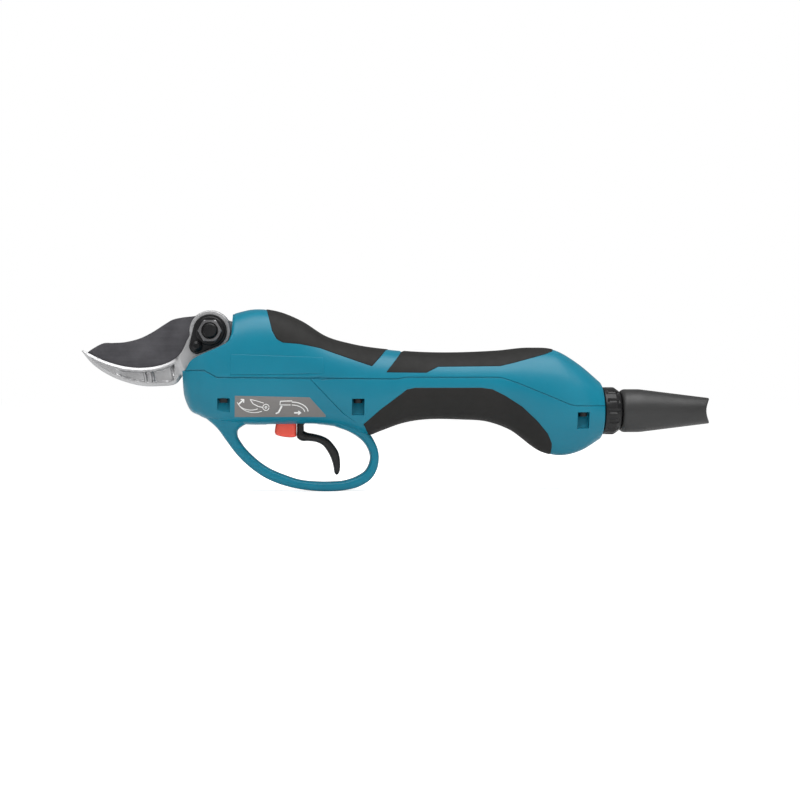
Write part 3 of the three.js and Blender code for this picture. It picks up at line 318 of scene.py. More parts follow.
# the skin at distance x along the body and angle a round it: a rounded box whose sides are the
# contours, y = half width times cos(a) and z = middle + half height times sin(a), each to the power
# 2 / squareness; a is -90 degrees at the keel, 0 on the near side and 90 on the crest
def skin(x, a):
    high, low, power = topLine(x), bottomLine(x), 2 / squareness(x)
    c, s = np.cos(a), np.sin(a)
    y = -sideLine(x) * np.sign(c) * np.abs(c) ** power
    z = (high + low) / 2 + (high - low) / 2 * np.sign(s) * np.abs(s) ** power
    return np.stack([x, y, z], -1)


# outward directions on the skin, from small steps along it and round it
def skinNormal(x, a):
    along = skin(x + 0.4, a) - skin(x - 0.4, a)
    around = skin(x, a + 0.03) - skin(x, a - 0.03)
    normal = np.cross(along, around)
    return normal / (np.linalg.norm(normal, axis=-1, keepdims=True) + 1e-12)


# the angle at which the near side's skin is at height z
def angleAt(x, z):
    high, low = topLine(x), bottomLine(x)
    share = np.clip((2 * z - high - low) / (high - low), -1, 1)
    return np.arcsin(np.sign(share) * np.abs(share) ** (squareness(x) / 2))


# a side-view line as (x, angle) rows, spread evenly over the skin
def onSkin(points, count=700):
    dense = straightRows(points, np.linspace(0, 1, 1400))
    rows = np.stack([dense[:, 0], angleAt(dense[:, 0], dense[:, 1])], -1)
    steps = np.linalg.norm(np.diff(skin(rows[:, 0], rows[:, 1]), axis=0), axis=1) + 1e-9
    along = np.concatenate([[0], np.cumsum(steps)]) / steps.sum()
    shares = np.linspace(0, 1, count)
    return np.stack([np.interp(shares, along, rows[:, 0]), np.interp(shares, along, rows[:, 1])], -1)


def crestLine(x0, x1, angle, count=200):
    return np.stack([np.linspace(x0, x1, count), np.full(count, angle)], -1)


# the patch inside four border lines, by blending opposite borders and taking off the corners' share
def coons(lower, upper, start, end, s, t):
    def along(line, share):
        place = np.linspace(0, 1, len(line))
        return np.stack([np.interp(share, place, line[:, 0]), np.interp(share, place, line[:, 1])], -1)

    s1, t1 = s[..., None], t[..., None]
    corners = ((1 - s1) * (1 - t1) * lower[0] + s1 * (1 - t1) * lower[-1]
               + (1 - s1) * t1 * upper[0] + s1 * t1 * upper[-1])
    return ((1 - t1) * along(lower, s) + t1 * along(upper, s)
            + (1 - s1) * along(start, t) + s1 * along(end, t) - corners)


lipSteps = np.array([0, 0.05, 0.18, 0.38, 0.66, 1.0])  # lines across a rolled edge, in shares of its radius
sharpTurn = 0.12  # radians over three steps of a border


# where a border bends sharply, as shares of its length
def sharpShares(line):
    place = skin(line[:, 0], line[:, 1])[:, [0, 2]]
    step = np.diff(place, axis=0)
    along = np.concatenate([[0], np.cumsum(np.hypot(*step.T))])
    reach = 3
    before, after = place[reach:-reach] - place[:-2 * reach], place[2 * reach:] - place[reach:-reach]
    across = before[:, 0] * after[:, 1] - before[:, 1] * after[:, 0]
    turn = np.abs(np.arctan2(across, (before * after).sum(1)))
    peaks = [k for k in range(2, len(turn) - 2)
             if turn[k] > sharpTurn and turn[k] == turn[max(k - 6, 0):k + 7].max()]
    share = np.linspace(0, 1, len(line))
    return [share[k + reach] for k in peaks if 0.01 < share[k + reach] < 0.99]


# moves the nearest grid line onto each sharp bend, so that two neighbours share it
def snapped(lines, shares):
    for share in shares:
        row = int(np.abs(lines.mean(1) - share).argmin())
        lines[row] = share
    return lines


# shares of a line's length: close together at the two rolled edges, evenly spread between
def shareLines(count, lengths, first, last):
    inner = np.linspace(0, 1, count + 2)[1:-1, None]
    a, b = first * lipSteps[:, None] / lengths, last * lipSteps[:, None] / lengths
    low, high = a[-1:], 1 - b[-1:]
    return np.concatenate([a, low + (high - low) * inner, 1 - b[::-1]])


# a closed piece of wall on the skin, inside four (x, angle) border lines, its edges rolled over
# the piece runs across the crest or keel when mirrorAt is that angle; depth(point) sinks its face
def skinPiece(name, lower, upper, start, end, counts, wall, mirrorAt=None, lips=(0.45, 0.45, 0.45),
              proud=0.0, depth=None, thicken=None, gap=0.0):
    rows, columns = counts
    firstLip, lastLip, sideLip = lips
    width = 2.0 if mirrorAt is not None else 1.0

    def place(s, t):
        folded = np.where(t > 1, 2 - t, t)
        found = coons(lower, upper, start, end, s, folded)
        x, a = found[..., 0], found[..., 1]
        return x, np.where(t > 1, 2 * (mirrorAt or 0) - a, a)

    trialS, trialT = np.meshgrid(np.linspace(0, 1, 60), np.linspace(0, width, 61), indexing="ij")
    trial = skin(*place(trialS, trialT))
    longWays = np.linalg.norm(np.diff(trial, axis=0), axis=-1).sum(0)
    crossWays = np.linalg.norm(np.diff(trial, axis=1), axis=-1).sum(1)
    total = columns + 2 * len(lipSteps)
    t0 = np.linspace(0, 1, total)
    s = shareLines(rows, np.maximum(np.interp(t0, np.linspace(0, 1, 61), longWays), 3)[None, :],
                   firstLip, lastLip)
    s = snapped(s, sharpShares(lower))
    s0 = np.linspace(0, 1, len(s))
    t = shareLines(columns, np.maximum(np.interp(s0, np.linspace(0, 1, 60), crossWays), 3)[None, :],
                   sideLip, sideLip)
    bends = sharpShares(start) + sharpShares(end)
    if mirrorAt is not None:
        bends = [b / 2 for b in bends] + [1 - b / 2 for b in bends]
    t = snapped(t, bends).T * width
    longLength = np.interp(t[len(t) // 2] / width, np.linspace(0, 1, 61), longWays)[None, :]
    crossLength = np.interp(s0, np.linspace(0, 1, 60), crossWays)[:, None]
    edge = gap / np.maximum(longLength, 3), gap / np.maximum(crossLength, 3) * width
    sIn = edge[0] + s * (1 - 2 * edge[0])
    tIn = edge[1] + t * (1 - 2 * edge[1] / width)
    x, a = place(sIn, tIn)
    point, normal = skin(x, a), skinNormal(x, a)
    toEnd = np.minimum(s * longLength / max(firstLip, 1e-6), (1 - s) * longLength / max(lastLip, 1e-6))
    toSide = np.minimum(t, width - t) / width * crossLength / max(sideLip, 1e-6)
    lack = np.hypot(np.clip(1 - toEnd, 0, 1), np.clip(1 - toSide, 0, 1))
    radius = np.where(s < 0.5, firstLip, lastLip)
    radius = np.where(toSide < toEnd, sideLip, radius)
    sunk = radius * (1 - np.sqrt(np.clip(1 - lack ** 2, 0, 1)))
    base = proud - (depth(point) if depth else 0)
    front = point + normal * (base - sunk)[..., None]
    extra = thicken(point) if thicken else 0
    back = point + normal * (np.minimum(base - sunk - 0.15, base - wall - extra))[..., None]
    return makeObject(name, *closedBody(front, back), sharpAngle=50)


# ---- materials

def srgb(red, green, blue):
    values = np.array([red, green, blue], float) / 255
    return tuple(np.where(values <= 0.04045, values / 12.92, ((values + 0.055) / 1.055) ** 2.4)) + (1.0,)


# a node group from its inputs and outputs: each is (name, socket type, default)
def newGroup(name, inputs, outputs):
    tree = bpy.data.node_groups.new(name, "ShaderNodeTree")
    for label, kind, value in inputs:
        socket = tree.interface.new_socket(label, in_out="INPUT", socket_type=kind)
        if value is not None:
            socket.default_value = value
    for label, kind in outputs:
        tree.interface.new_socket(label, in_out="OUTPUT", socket_type=kind)
    return tree, tree.nodes.new("NodeGroupInput"), tree.nodes.new("NodeGroupOutput")


def math2(tree, operation, first, second):
    node = tree.nodes.new("ShaderNodeMath")
    node.operation = operation
    for socket, value in zip(node.inputs, (first, second)):
        if isinstance(value, (int, float)):
            socket.default_value = value
        else:
            tree.links.new(value, socket)
    return node.outputs[0]


def noise(tree, vector, scale, detail=3.0, roughness=0.55):
    node = tree.nodes.new("ShaderNodeTexNoise")
    tree.links.new(vector, node.inputs["Vector"])
    if isinstance(scale, (int, float)):
        node.inputs["Scale"].default_value = scale
    else:
        tree.links.new(scale, node.inputs["Scale"])
    node.inputs["Detail"].default_value = detail
    node.inputs["Roughness"].default_value = roughness
    return node.outputs["Fac"]


def mixColor(tree, factor, first, second):
    node = tree.nodes.new("ShaderNodeMix")
    node.data_type = "RGBA"
    for socket, value in zip((node.inputs[0], node.inputs[6], node.inputs[7]), (factor, first, second)):
        if isinstance(value, (int, float, tuple)):
            socket.default_value = value
        else:
            tree.links.new(value, socket)
    return node.outputs[2]


def between(tree, value, low, high, toLow=0.0, toHigh=1.0):
    node = tree.nodes.new("ShaderNodeMapRange")
    node.inputs["From Min"].default_value = low
    node.inputs["From Max"].default_value = high
    node.inputs["To Min"].default_value = toLow
    node.inputs["To Max"].default_value = toHigh
    tree.links.new(value, node.inputs["Value"])
    return node.outputs[0]


# moulded grain: a fine stipple, a slow drift of shade, and handling marks that change the gloss
def grainGroup():
    tree, start, end = newGroup("mouldedGrain", [
        ("Vector", "NodeSocketVector", None), ("Grain Scale", "NodeSocketFloat", 1500.0),
        ("Drift Scale", "NodeSocketFloat", 28.0)],
        [("Height", "NodeSocketFloat"), ("Drift", "NodeSocketFloat"), ("Marks", "NodeSocketFloat")])
    vector = start.outputs["Vector"]
    stipple = noise(tree, vector, start.outputs["Grain Scale"], 2.0)
    drift = noise(tree, vector, start.outputs["Drift Scale"], 4.0)
    marks = noise(tree, vector, math2(tree, "MULTIPLY", start.outputs["Drift Scale"], 7.0), 5.0, 0.7)
    tree.links.new(stipple, end.inputs["Height"])
    tree.links.new(between(tree, drift, 0.3, 0.7), end.inputs["Drift"])
    tree.links.new(between(tree, marks, 0.42, 0.72), end.inputs["Marks"])
    return tree


# brushed metal: noise drawn out along one direction by a mapping before it, with fine pits
def brushGroup():
    tree, start, end = newGroup("brushedMetal", [
        ("Vector", "NodeSocketVector", None), ("Stroke", "NodeSocketVector", (40.0, 900.0, 1600.0)),
        ("Pit Scale", "NodeSocketFloat", 900.0)],
        [("Strokes", "NodeSocketFloat"), ("Pits", "NodeSocketFloat"), ("Stains", "NodeSocketFloat")])
    scaled = tree.nodes.new("ShaderNodeVectorMath")
    scaled.operation = "MULTIPLY"
    tree.links.new(start.outputs["Vector"], scaled.inputs[0])
    tree.links.new(start.outputs["Stroke"], scaled.inputs[1])
    strokes = noise(tree, scaled.outputs[0], 1.0, 4.0, 0.6)
    pits = noise(tree, start.outputs["Vector"], start.outputs["Pit Scale"], 2.0)
    stains = noise(tree, start.outputs["Vector"], 60.0, 5.0, 0.65)
    tree.links.new(strokes, end.inputs["Strokes"])
    tree.links.new(between(tree, pits, 0.3, 0.7), end.inputs["Pits"])
    tree.links.new(between(tree, stains, 0.35, 0.7), end.inputs["Stains"])
    return tree


grainTree, brushTree = grainGroup(), brushGroup()


def startMaterial(name, tree, values):
    material = bpy.data.materials.new(name)
    material.use_nodes = True
    nodes, links = material.node_tree.nodes, material.node_tree.links
    shader = nodes["Principled BSDF"]
    place = nodes.new("ShaderNodeTexCoord")
    group = nodes.new("ShaderNodeGroup")
    group.node_tree = tree
    links.new(place.outputs["Object"], group.inputs["Vector"])
    for label, value in values.items():
        group.inputs[label].default_value = value
    return material, shader, group


def bumped(material, shader, height, strength, distance):
    bump = material.node_tree.nodes.new("ShaderNodeBump")
    bump.inputs["Strength"].default_value = strength
    bump.inputs["Distance"].default_value = distance
    material.node_tree.links.new(height, bump.inputs["Height"])
    material.node_tree.links.new(bump.outputs[0], shader.inputs["Normal"])


# a moulded plastic or rubber: two shades that drift into each other, stippled, with duller marks
def moulded(name, deep, light, rough, grainScale=1500.0, bump=0.12, specular=0.5, coat=0.0, driftScale=28.0):
    material, shader, group = startMaterial(
        name, grainTree, {"Grain Scale": grainScale, "Drift Scale": driftScale})
    tree = material.node_tree
    shade = math2(tree, "ADD", math2(tree, "MULTIPLY", group.outputs["Drift"], 0.65),
                  math2(tree, "MULTIPLY", group.outputs["Height"], 0.35))
    tree.links.new(mixColor(tree, shade, srgb(*deep), srgb(*light)), shader.inputs["Base Color"])
    gloss = math2(tree, "ADD", between(tree, group.outputs["Marks"], 0, 1, rough, rough + 0.1),
                  between(tree, group.outputs["Height"], 0, 1, -0.03, 0.03))
    tree.links.new(gloss, shader.inputs["Roughness"])
    shader.inputs["Specular IOR Level"].default_value = specular
    shader.inputs["Coat Weight"].default_value = coat
    shader.inputs["Coat Roughness"].default_value = 0.25
    bumped(material, shader, group.outputs["Height"], bump, 0.00012)
    return material


# a metal: strokes and stains drive its shade and gloss
def metal(name, deep, light, rough, stroke=(40.0, 900.0, 1600.0), metallic=1.0, bump=0.1, pits=900.0):
    material, shader, group = startMaterial(name, brushTree, {"Stroke": stroke, "Pit Scale": pits})
    tree = material.node_tree
    shade = math2(tree, "ADD", math2(tree, "MULTIPLY", group.outputs["Strokes"], 0.5),
                  math2(tree, "MULTIPLY", group.outputs["Stains"], 0.5))
    tree.links.new(mixColor(tree, shade, srgb(*deep), srgb(*light)), shader.inputs["Base Color"])
    gloss = math2(tree, "ADD", between(tree, group.outputs["Strokes"], 0.2, 0.8, rough - 0.07, rough + 0.07),
                  between(tree, group.outputs["Stains"], 0, 1, 0.0, 0.08))
    tree.links.new(gloss, shader.inputs["Roughness"])
    shader.inputs["Metallic"].default_value = metallic
    height = math2(tree, "ADD", group.outputs["Strokes"], math2(tree, "MULTIPLY", group.outputs["Pits"], 0.4))
    bumped(material, shader, height, bump, 0.0001)
    return material


finishes = {
    "housing_turquoise": moulded("turquoiseShell", (0, 110, 134), (2, 120, 144), 0.33, 1300.0, 0.1, 0.34),
    "rubber_black": moulded("gripRubber", (28, 28, 27), (38, 37, 36), 0.6, 2200.0, 0.35, 0.22),
    "blade_steel": metal("hookSteel", (160, 160, 161), (198, 198, 199), 0.36,
                         (70.0, 500.0, 900.0), 0.9, 0.22, 700.0),
    "blade_coated": metal("coatedBlade", (64, 63, 67), (94, 93, 97), 0.42, (60.0, 800.0, 900.0), 0.55, 0.12),
    "black_steel": metal("blackenedSteel", (20, 20, 22), (40, 40, 41), 0.34,
                         (300.0, 300.0, 300.0), 0.5, 0.15),
    "cast_alloy": metal("castAlloy", (150, 151, 153), (186, 187, 189), 0.5,
                        (400.0, 400.0, 400.0), 0.9, 0.4, 500.0),
    "bronze": metal("bronzeBush", (150, 108, 62), (186, 142, 88), 0.42, (300.0, 60.0, 300.0), 0.95),
    "gear_steel": metal("gearSteel", (128, 130, 133), (172, 174, 177), 0.34, (700.0, 90.0, 700.0)),
    "black_plastic": moulded("blackPlastic", (14, 14, 15), (24, 24, 25), 0.34, 1700.0, 0.12, 0.32, 0.05),
    "lock_red": moulded("redPlastic", (244, 74, 56), (254, 100, 78), 0.36, 1500.0, 0.1, 0.5, 0.2),
    "label_grey": moulded("labelGrey", (108, 106, 104), (125, 122, 120), 0.45, 2600.0, 0.06),
    "spring_steel": metal("springSteel", (120, 122, 126), (165, 167, 170), 0.3, (900.0, 900.0, 900.0)),
    "copper": metal("windingCopper", (160, 84, 44), (200, 118, 70), 0.36, (200.0, 1500.0, 1500.0), 0.95),
    "board_green": moulded("boardGreen", (22, 76, 48), (34, 98, 64), 0.4, 600.0, 0.2),
    "lead_red": moulded("leadRed", (150, 30, 26), (176, 44, 38), 0.5),
    "seal_black": moulded("sealBlack", (20, 20, 20), (32, 32, 32), 0.6),
}
bootRubber = moulded("bootRubber", (36, 36, 36), (48, 48, 48), 0.42, 2200.0, 0.2, 0.45)
# the pivot nut: blackened steel painted a lighter grey, a painted sheen standing in for the light its faces
# catch
nutSteelPaintedSheen = metal("nutSteelPaintedSheen", (92, 92, 94), (130, 129, 130), 0.36, (300.0, 300.0, 300.0), 0.7, 0.18)
inkWhite = moulded("printWhite", (222, 222, 220), (238, 238, 236), 0.5, 2600.0, 0.05)

# every CAD node keeps its shape and takes the finish of its slot
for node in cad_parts.values():
    for place in node.material_slots:
        place.material = finishes[place.material.name.split(".")[0]]
print("finishes ready:", len(finishes))


# ---- housing shells

edges = {
    "seam": [[nose, -22], [-3, -22], [4, -25.8], [gripStart + 2, -26.4], [gripStart + 8, -25.4],
             [grip(0.5), -25.4], [grip(0.58), -28.6], [grip(0.82), -40.4], [grip(0.85), -41.2],
             [tailX, -41.2]],
    "split": [[54.6, -26.4], [72.5, -45], [79.5, -50], [84, -51], [86.4, -54.6], [88, -57.4]],
    "head": [[nose + 1.6, -22], [-7.3, -17], [-0.8, -14], [5.7, -10.4], [9.5, -6.8], [11.5, -1.8], [11.9, 5],
             [12.2, 9.7]],
    "frontPad": [[30.6, 12], [33.5, 0], [36, -4.8], [39.6, -6.8], [49.4, -7.6], [60.3, -9.8], [88.8, -19.8],
                 [97.3, -10.4], [99, -8]],
    "rearPad": [[107, -8], [105, -11.4], [100.6, -17], [95.8, -23], [gripStart + 18.5, -23.2],
                [gripStart + 25, -19.8], [grip(0.5), -19.4], [grip(0.57), -17.4], [grip(0.72), -12.4],
                [grip(0.757), -10.9], [grip(0.772), -8]],
    "lowerPad": [[88.4, -60], [87.2, -57.6], [83.8, -51.2], [93.2, -42.8], [104.6, -34.2], [107.6, -31.8],
                 [112, -30.8], [grip(0.41), -30.8], [grip(0.46), -31.6], [grip(0.52), -35.1],
                 [grip(0.6), -41.2], [grip(0.67), -49], [grip(0.725), -56.7], [grip(0.75), -62.4],
                 [grip(0.757), -72]],
    "label": [[13.4, -35.3], [54.4, -36.2], [63.8, -46.4], [63.4, -47.5], [13.2, -47.5]],
    "frame": [[11.2, -12.9], [61.7, -14.4], [62.2, -23.7], [11.2, -24.3]],
}
crest, keel = math.pi / 2, -math.pi / 2


# the part of a side-view line between two distances along the body, with its ends added
def partOf(line, x0, x1):
    line = np.array(line, float)
    ends = [[x, np.interp(x, line[:, 0], line[:, 1])] for x in (x0, x1)]
    middle = line[(line[:, 0] > x0) & (line[:, 0] < x1)]
    return np.concatenate([ends[:1], middle, ends[1:]])


beds = {"frontPad": 2.0, "rearPad": 2.0, "lowerPad": 2.0, "label": 0.9, "frame": 0.9}


# how deep the shell lies under the pads, the label and the panel, in mm: a bed with sloping sides
def bedDepth(point):
    x, z = point[..., 0], point[..., 2]
    depth = np.zeros(x.shape)
    for name, deep in beds.items():
        outline = edges[name]
        if name in ("frontPad", "rearPad"):
            outline = [[outline[0][0], 60]] + outline[1:-1] + [[outline[-1][0], 60]]
        if name == "lowerPad":
            outline = [[outline[0][0], -120]] + outline[1:-1] + [[outline[-1][0], -120]]
        depth = np.maximum(depth, deep * ease(insideBy(x, z, outline), 0.5, 2.2))
    return depth


pockets = [(nodeBox[f"housing_screw_{k}"][0], nodeBox[f"housing_screw_{k}"][1]) for k in range(1, 7)]
pocketHalf = 3.4


# extra wall round each screw's pocket, so that the pocket has sides and a floor
def pocketWall(point):
    extra = np.zeros(point.shape[:2])
    for low, high in pockets:
        x, seat = (low[0] + high[0]) / 2, high[2] - 11
        near = np.sign(point[..., 1]) == np.sign(low[1] + high[1])
        across = 1 - ease(np.abs(point[..., 0] - x), pocketHalf + 1.4, pocketHalf + 4)
        upward = 1 - ease(point[..., 2], seat + 2, seat + 5)
        downward = ease(point[..., 2], seat - 17, seat - 12)
        extra = np.maximum(extra, 5.4 * across * upward * downward * near)
    return extra


def pocketCutters(owner, indices):
    cutters = []
    for index in indices:
        low, high = pockets[index]
        x, y, seat = (low[0] + high[0]) / 2, (low[1] + high[1]) / 2, high[2] - 11
        side = np.sign(y)
        floor, outside = y - side * 3.0, side * 30
        slope = 1.6 * side
        corners = np.array([[x + i * pocketHalf, q, z] for i in (-1, 1) for q, z in (
            (floor, seat), (outside, seat), (outside, seat - 12), (floor + slope, seat - 8.6))])
        faces = [[0, 1, 2, 3], [7, 6, 5, 4], [0, 4, 5, 1], [1, 5, 6, 2], [2, 6, 7, 3], [3, 7, 4, 0]]
        cutters.append(makeObject(f"{owner}Pocket{index}", corners, faces))
    return cutters


gap, lip, wall = body["seamGap"] / 2, body["lip"], body["wall"]
turquoise = finishes["housing_turquoise"]

upperShell = skinPiece("upperShell", onSkin(partOf(edges["seam"], nose + 1.6, tailX)),
                       crestLine(12.2, tailX, crest),
                       onSkin(edges["head"][:-1] + [[12.2, topLine(12.2)]]),
                       onSkin([[tailX, -41.2], [tailX, cableZ + 15.5]]),
                       (250, 110), wall, crest, (2.0, 1.2, lip), depth=bedDepth, gap=gap)
settle(upperShell, "root", "housing_turquoise", turquoise, "upper_housing")

noseShell = skinPiece("noseShell", onSkin(partOf(edges["seam"], nose, 54.6)), crestLine(nose, 88, keel),
                      onSkin([[nose, -22], [nose, -31]]), onSkin(edges["split"]),
                      (150, 110), wall, keel, (2.6, lip, lip), depth=bedDepth, thicken=pocketWall, gap=gap)
slotFront, slotRear, slotHalf = 31, 59.5, 5.3
triggerSlot = blockObject("triggerSlot", [slotFront, -slotHalf, -62], [slotRear, slotHalf, -45])
cutAway(noseShell, *pocketCutters("nose", range(2)), triggerSlot)
settle(noseShell, "root", "housing_turquoise", turquoise, "lower_front_housing")

gripShell = skinPiece("gripShell", onSkin(partOf(edges["seam"], 54.6, tailX)), crestLine(88, tailX, keel),
                      onSkin(edges["split"]), onSkin([[tailX, -41.2], [tailX, cableZ - 15.5]]),
                      (200, 110), wall, keel, (lip, 1.2, lip), depth=bedDepth, thicken=pocketWall, gap=gap)
cutAway(gripShell, *pocketCutters("grip", range(2, 6)))
settle(gripShell, "root", "housing_turquoise", turquoise, "lower_rear_housing")
tailIn, tailOut = tailX - 1.9, tailX - 0.2
tailProfile = rounded([[tailIn, 10.4], [tailIn, 14.4], [tailOut, 14.4], [tailOut, 10.4]], 0.5)
tailWall = makeObject("tailWall", *turnedX(tailProfile, 0, cableZ, loop=True))
settle(tailWall, "root", "housing_turquoise", turquoise)
print("shells done")

# ---- grip pads: rubber laid in the shells, a little proud, their edges rolled down

pad = {"thick": 1.6, "proud": 0.25, "lip": 0.6, "gap": 0.25}
rubber = finishes["rubber_black"]
lips = (pad["lip"],) * 3


def gripPad(name, sideEdge, startEdge, endEdge, x0, x1, angle, counts):
    return skinPiece(name, onSkin(sideEdge), crestLine(x0, x1, angle), onSkin(startEdge), onSkin(endEdge),
                     counts, pad["thick"], angle, lips, pad["proud"], gap=pad["gap"])


# ---- side panels: a plain raised panel and the grey label

# a piece on one side: built on the near side and mirrored for the far one
def sidePiece(name, outline, counts, wallDeep, edgeLip, proud, side, slack):
    lower, endEdge, upper, startEdge = outline
    thing = skinPiece(name, onSkin(lower), onSkin(upper), onSkin(startEdge), onSkin(endEdge), counts,
                      wallDeep, None, (edgeLip,) * 3, proud, gap=slack)
    if side > 0:
        count = len(thing.data.vertices)
        places = np.empty(count * 3)
        thing.data.vertices.foreach_get("co", places)
        places = places.reshape(-1, 3)
        places[:, 1] = 2 * pivot[1] - places[:, 1]
        thing.data.vertices.foreach_set("co", places.ravel())
        thing.data.flip_normals()
    return thing


# the borders of a tongue behind an open joint, so that no light passes between the shells
def tongueEdges(line, dx, dz):
    low, high = line - [dx, dz], line + [dx, dz]
    return low, [low[-1], high[-1]], high, [low[0], high[0]]


tongue = {"half": 1.1, "deep": -0.75, "thick": 1.0}
seamPart, splitPart = partOf(edges["seam"], nose + 3, tailX - 2), np.array(edges["split"], float)
for side, word in ((-1, "Near"), (1, "Far")):
    for joint, line, dx, dz in (("seam", seamPart, 0, 1), ("split", splitPart, 1, 0)):
        borders = tongueEdges(line, dx * tongue["half"], dz * tongue["half"])
        strip = sidePiece(joint + "Tongue" + word, borders, (120, 2), tongue["thick"], 0.1,
                          tongue["deep"], side, 0.0)
        settle(strip, "root", "housing_turquoise", turquoise)

label, plain = edges["label"], edges["frame"]
labelSides = ([label[4], label[3]], [label[3], label[2], label[1]], [label[0], label[1]],
              [label[4], label[0]])
panelSides = ([plain[3], plain[2]], [plain[2], plain[1]], [plain[0], plain[1]], [plain[3], plain[0]])
for side, word in ((-1, "near"), (1, "far")):
    plate = sidePiece("labelPlate" + word.title(), labelSides, (70, 24), 0.6, 0.18, 0.02, side, 0.25)
    settle(plate, "root", "label_grey", finishes["label_grey"], "label_plate_" + word)
    panel = sidePiece("plainPanel" + word.title(), panelSides, (70, 24), 0.6, 0.32, 0.1, side, 0.16)
    settle(panel, "root", "housing_turquoise", turquoise)

# generic signs on the label: an opening pair of blades and a lever with an arrow, as thin printed lines
def arc2(x, z, radiusX, radiusZ, first, last, count=24):
    t = np.radians(np.linspace(first, last, count))
    return np.stack([x + radiusX * np.cos(t), z + radiusZ * np.sin(t)], -1).tolist()


signs = [
    (arc2(22.4, -38.2, 7.4, 5.2, 196, 300), 0.42), (arc2(24.2, -36.2, 9.8, 8.6, 200, 296), 0.34),
    ([[22, -37.6], [23.6, -40], [26.4, -41.4], [28.6, -41.9]], 0.42),
    ([[22, -37.6], [25.6, -38.4], [29.4, -39.6]], 0.34),
    (arc2(30.6, -41.9, 1.7, 1.7, 0, 350), 0.4), (arc2(30.6, -41.9, 0.5, 0.5, 0, 350), 0.4),
    ([[15.6, -40.4], [18.4, -37.8]], 0.8), ([[16.9, -37.6], [18.6, -37.6], [18.5, -39.4]], 0.6),
    ([[38.4, -38.6], [44.8, -38.4]], 0.5), ([[38.4, -38.6], [38.2, -40.6], [44, -40.6]], 0.4),
    (arc2(44.4, -44.6, 9.2, 5.6, 4, 88), 0.5), (arc2(44.4, -44.8, 7.4, 4.2, 6, 88), 0.4),
    ([[39.2, -41.2], [37.4, -44.8]], 0.9), ([[37.4, -44.8], [35.9, -45.3]], 0.7),
    ([[46, -44.9], [49.4, -44.9]], 0.8), ([[48.2, -43.9], [49.6, -44.9], [48.2, -45.9]], 0.6),
]


# a printed line: a ribbon along a side-view path, its points laid on the skin
def printedLine(path, width, lift=0.05):
    rows = straightRows(path, np.linspace(0, 1, max(3 * len(path), 8)))
    step = np.gradient(rows, axis=0)
    step /= np.hypot(*step.T)[:, None] + 1e-9
    sideways = np.stack([-step[:, 1], step[:, 0]], -1) * width / 2
    flat = np.stack([rows - sideways, rows - sideways * 0.34, rows + sideways * 0.34, rows + sideways], 1)
    x, a = flat[..., 0], angleAt(flat[..., 0], flat[..., 1])
    point, normal = skin(x, a), skinNormal(x, a)
    return closedBody(point + normal * lift, point - normal * 0.1)


def joinedBodies(bodies):
    points, faces, start = [], [], 0
    for somePoints, someFaces in bodies:
        points.append(np.asarray(somePoints))
        faces += [[int(v) + start for v in face] for face in someFaces]
        start += len(somePoints)
    return np.concatenate(points), faces


for side, word in ((-1, "Near"), (1, "Far")):
    points, faces = joinedBodies([printedLine(path, width) for path, width in signs])
    if side > 0:
        points = points * [1, -1, 1]
    signs3d = makeObject("labelSigns" + word, points, faces)
    settle(signs3d, "root", "label_grey", inkWhite)
print("panels and labels done")

front = edges["frontPad"]
frontPad = gripPad("frontTopPad", front[3:7], front[3:0:-1] + [[30.6, topLine(30.6)]],
                   front[6:8] + [[99, topLine(99)]], 30.6, 99, crest, (90, 90))
settle(frontPad, "root", "rubber_black", rubber, "front_top_pad")

rear = edges["rearPad"]
rearPad = gripPad("rearTopPad", rear[3:9], rear[3:0:-1] + [[107, topLine(107)]],
                  rear[8:10] + [[grip(0.772), topLine(grip(0.772))]], 107, grip(0.772), crest, (90, 90))
settle(rearPad, "root", "rubber_black", rubber, "rear_top_pad")

under = edges["lowerPad"]
lowerPad = gripPad("lowerGripPad", under[2:13], under[2:0:-1] + [[88.4, bottomLine(88.4)]],
                   under[12:14] + [[grip(0.757), bottomLine(grip(0.757))]],
                   88.4, grip(0.757), keel, (110, 90))
settle(lowerPad, "root", "rubber_black", rubber, "lower_grip_pad")
print("pads done")

# ---- loops and levers: bands whose outer and inner lines are seen from the side

# stations (outer x, outer z, inner x, inner z, half width) along a band; each cross section is a rounded
# box round the middle: half the outer-to-inner step times cos(b) and the half width times sin(b),
# each to the power 2 / square; the ends shrink along a quarter circle
def bandRings(stations, count, sides, square, endRound=(0.0, 0.0)):
    rows = np.array(stations, float)
    middle = (rows[:, :2] + rows[:, 2:4]) / 2
    steps = np.hypot(*np.diff(middle, axis=0).T)
    along = np.concatenate([[0], np.cumsum(steps)])
    length = along[-1]
    shares = np.linspace(0, 1, count)
    first, last = (np.clip(r / length, 0, 0.4) for r in endRound)
    bend = 1 - np.cos(np.linspace(0, np.pi / 2, 9))
    shares = np.concatenate([first * bend, first + (1 - first - last) * shares[1:-1], 1 - last * bend[::-1]])
    found = np.stack([contour(np.stack([along / length, column], 1))(shares) for column in rows.T], -1)
    a = np.clip(1 - shares / max(first, 1e-9), 0, 1) if first > 0 else np.zeros(len(shares))
    b = np.clip(1 - (1 - shares) / max(last, 1e-9), 0, 1) if last > 0 else np.zeros(len(shares))
    shrink = np.sqrt(np.clip(1 - np.maximum(a, b) ** 2, 0.0025, 1))
    centre = (found[:, :2] + found[:, 2:4]) / 2
    half = (found[:, :2] - found[:, 2:4]) / 2
    turn = np.linspace(0, 2 * np.pi, sides, endpoint=False)
    c, s = np.cos(turn), np.sin(turn)
    c, s = (np.sign(v) * np.abs(v) ** (2 / square) for v in (c, s))
    across = half[:, None, :] * (c[None, :, None] * shrink[:, None, None])
    x, z = (centre[:, None, k] + across[..., k] for k in (0, 1))
    y = found[:, 4][:, None] * s[None, :] * shrink[:, None]
    return np.stack([x, y, z], -1)


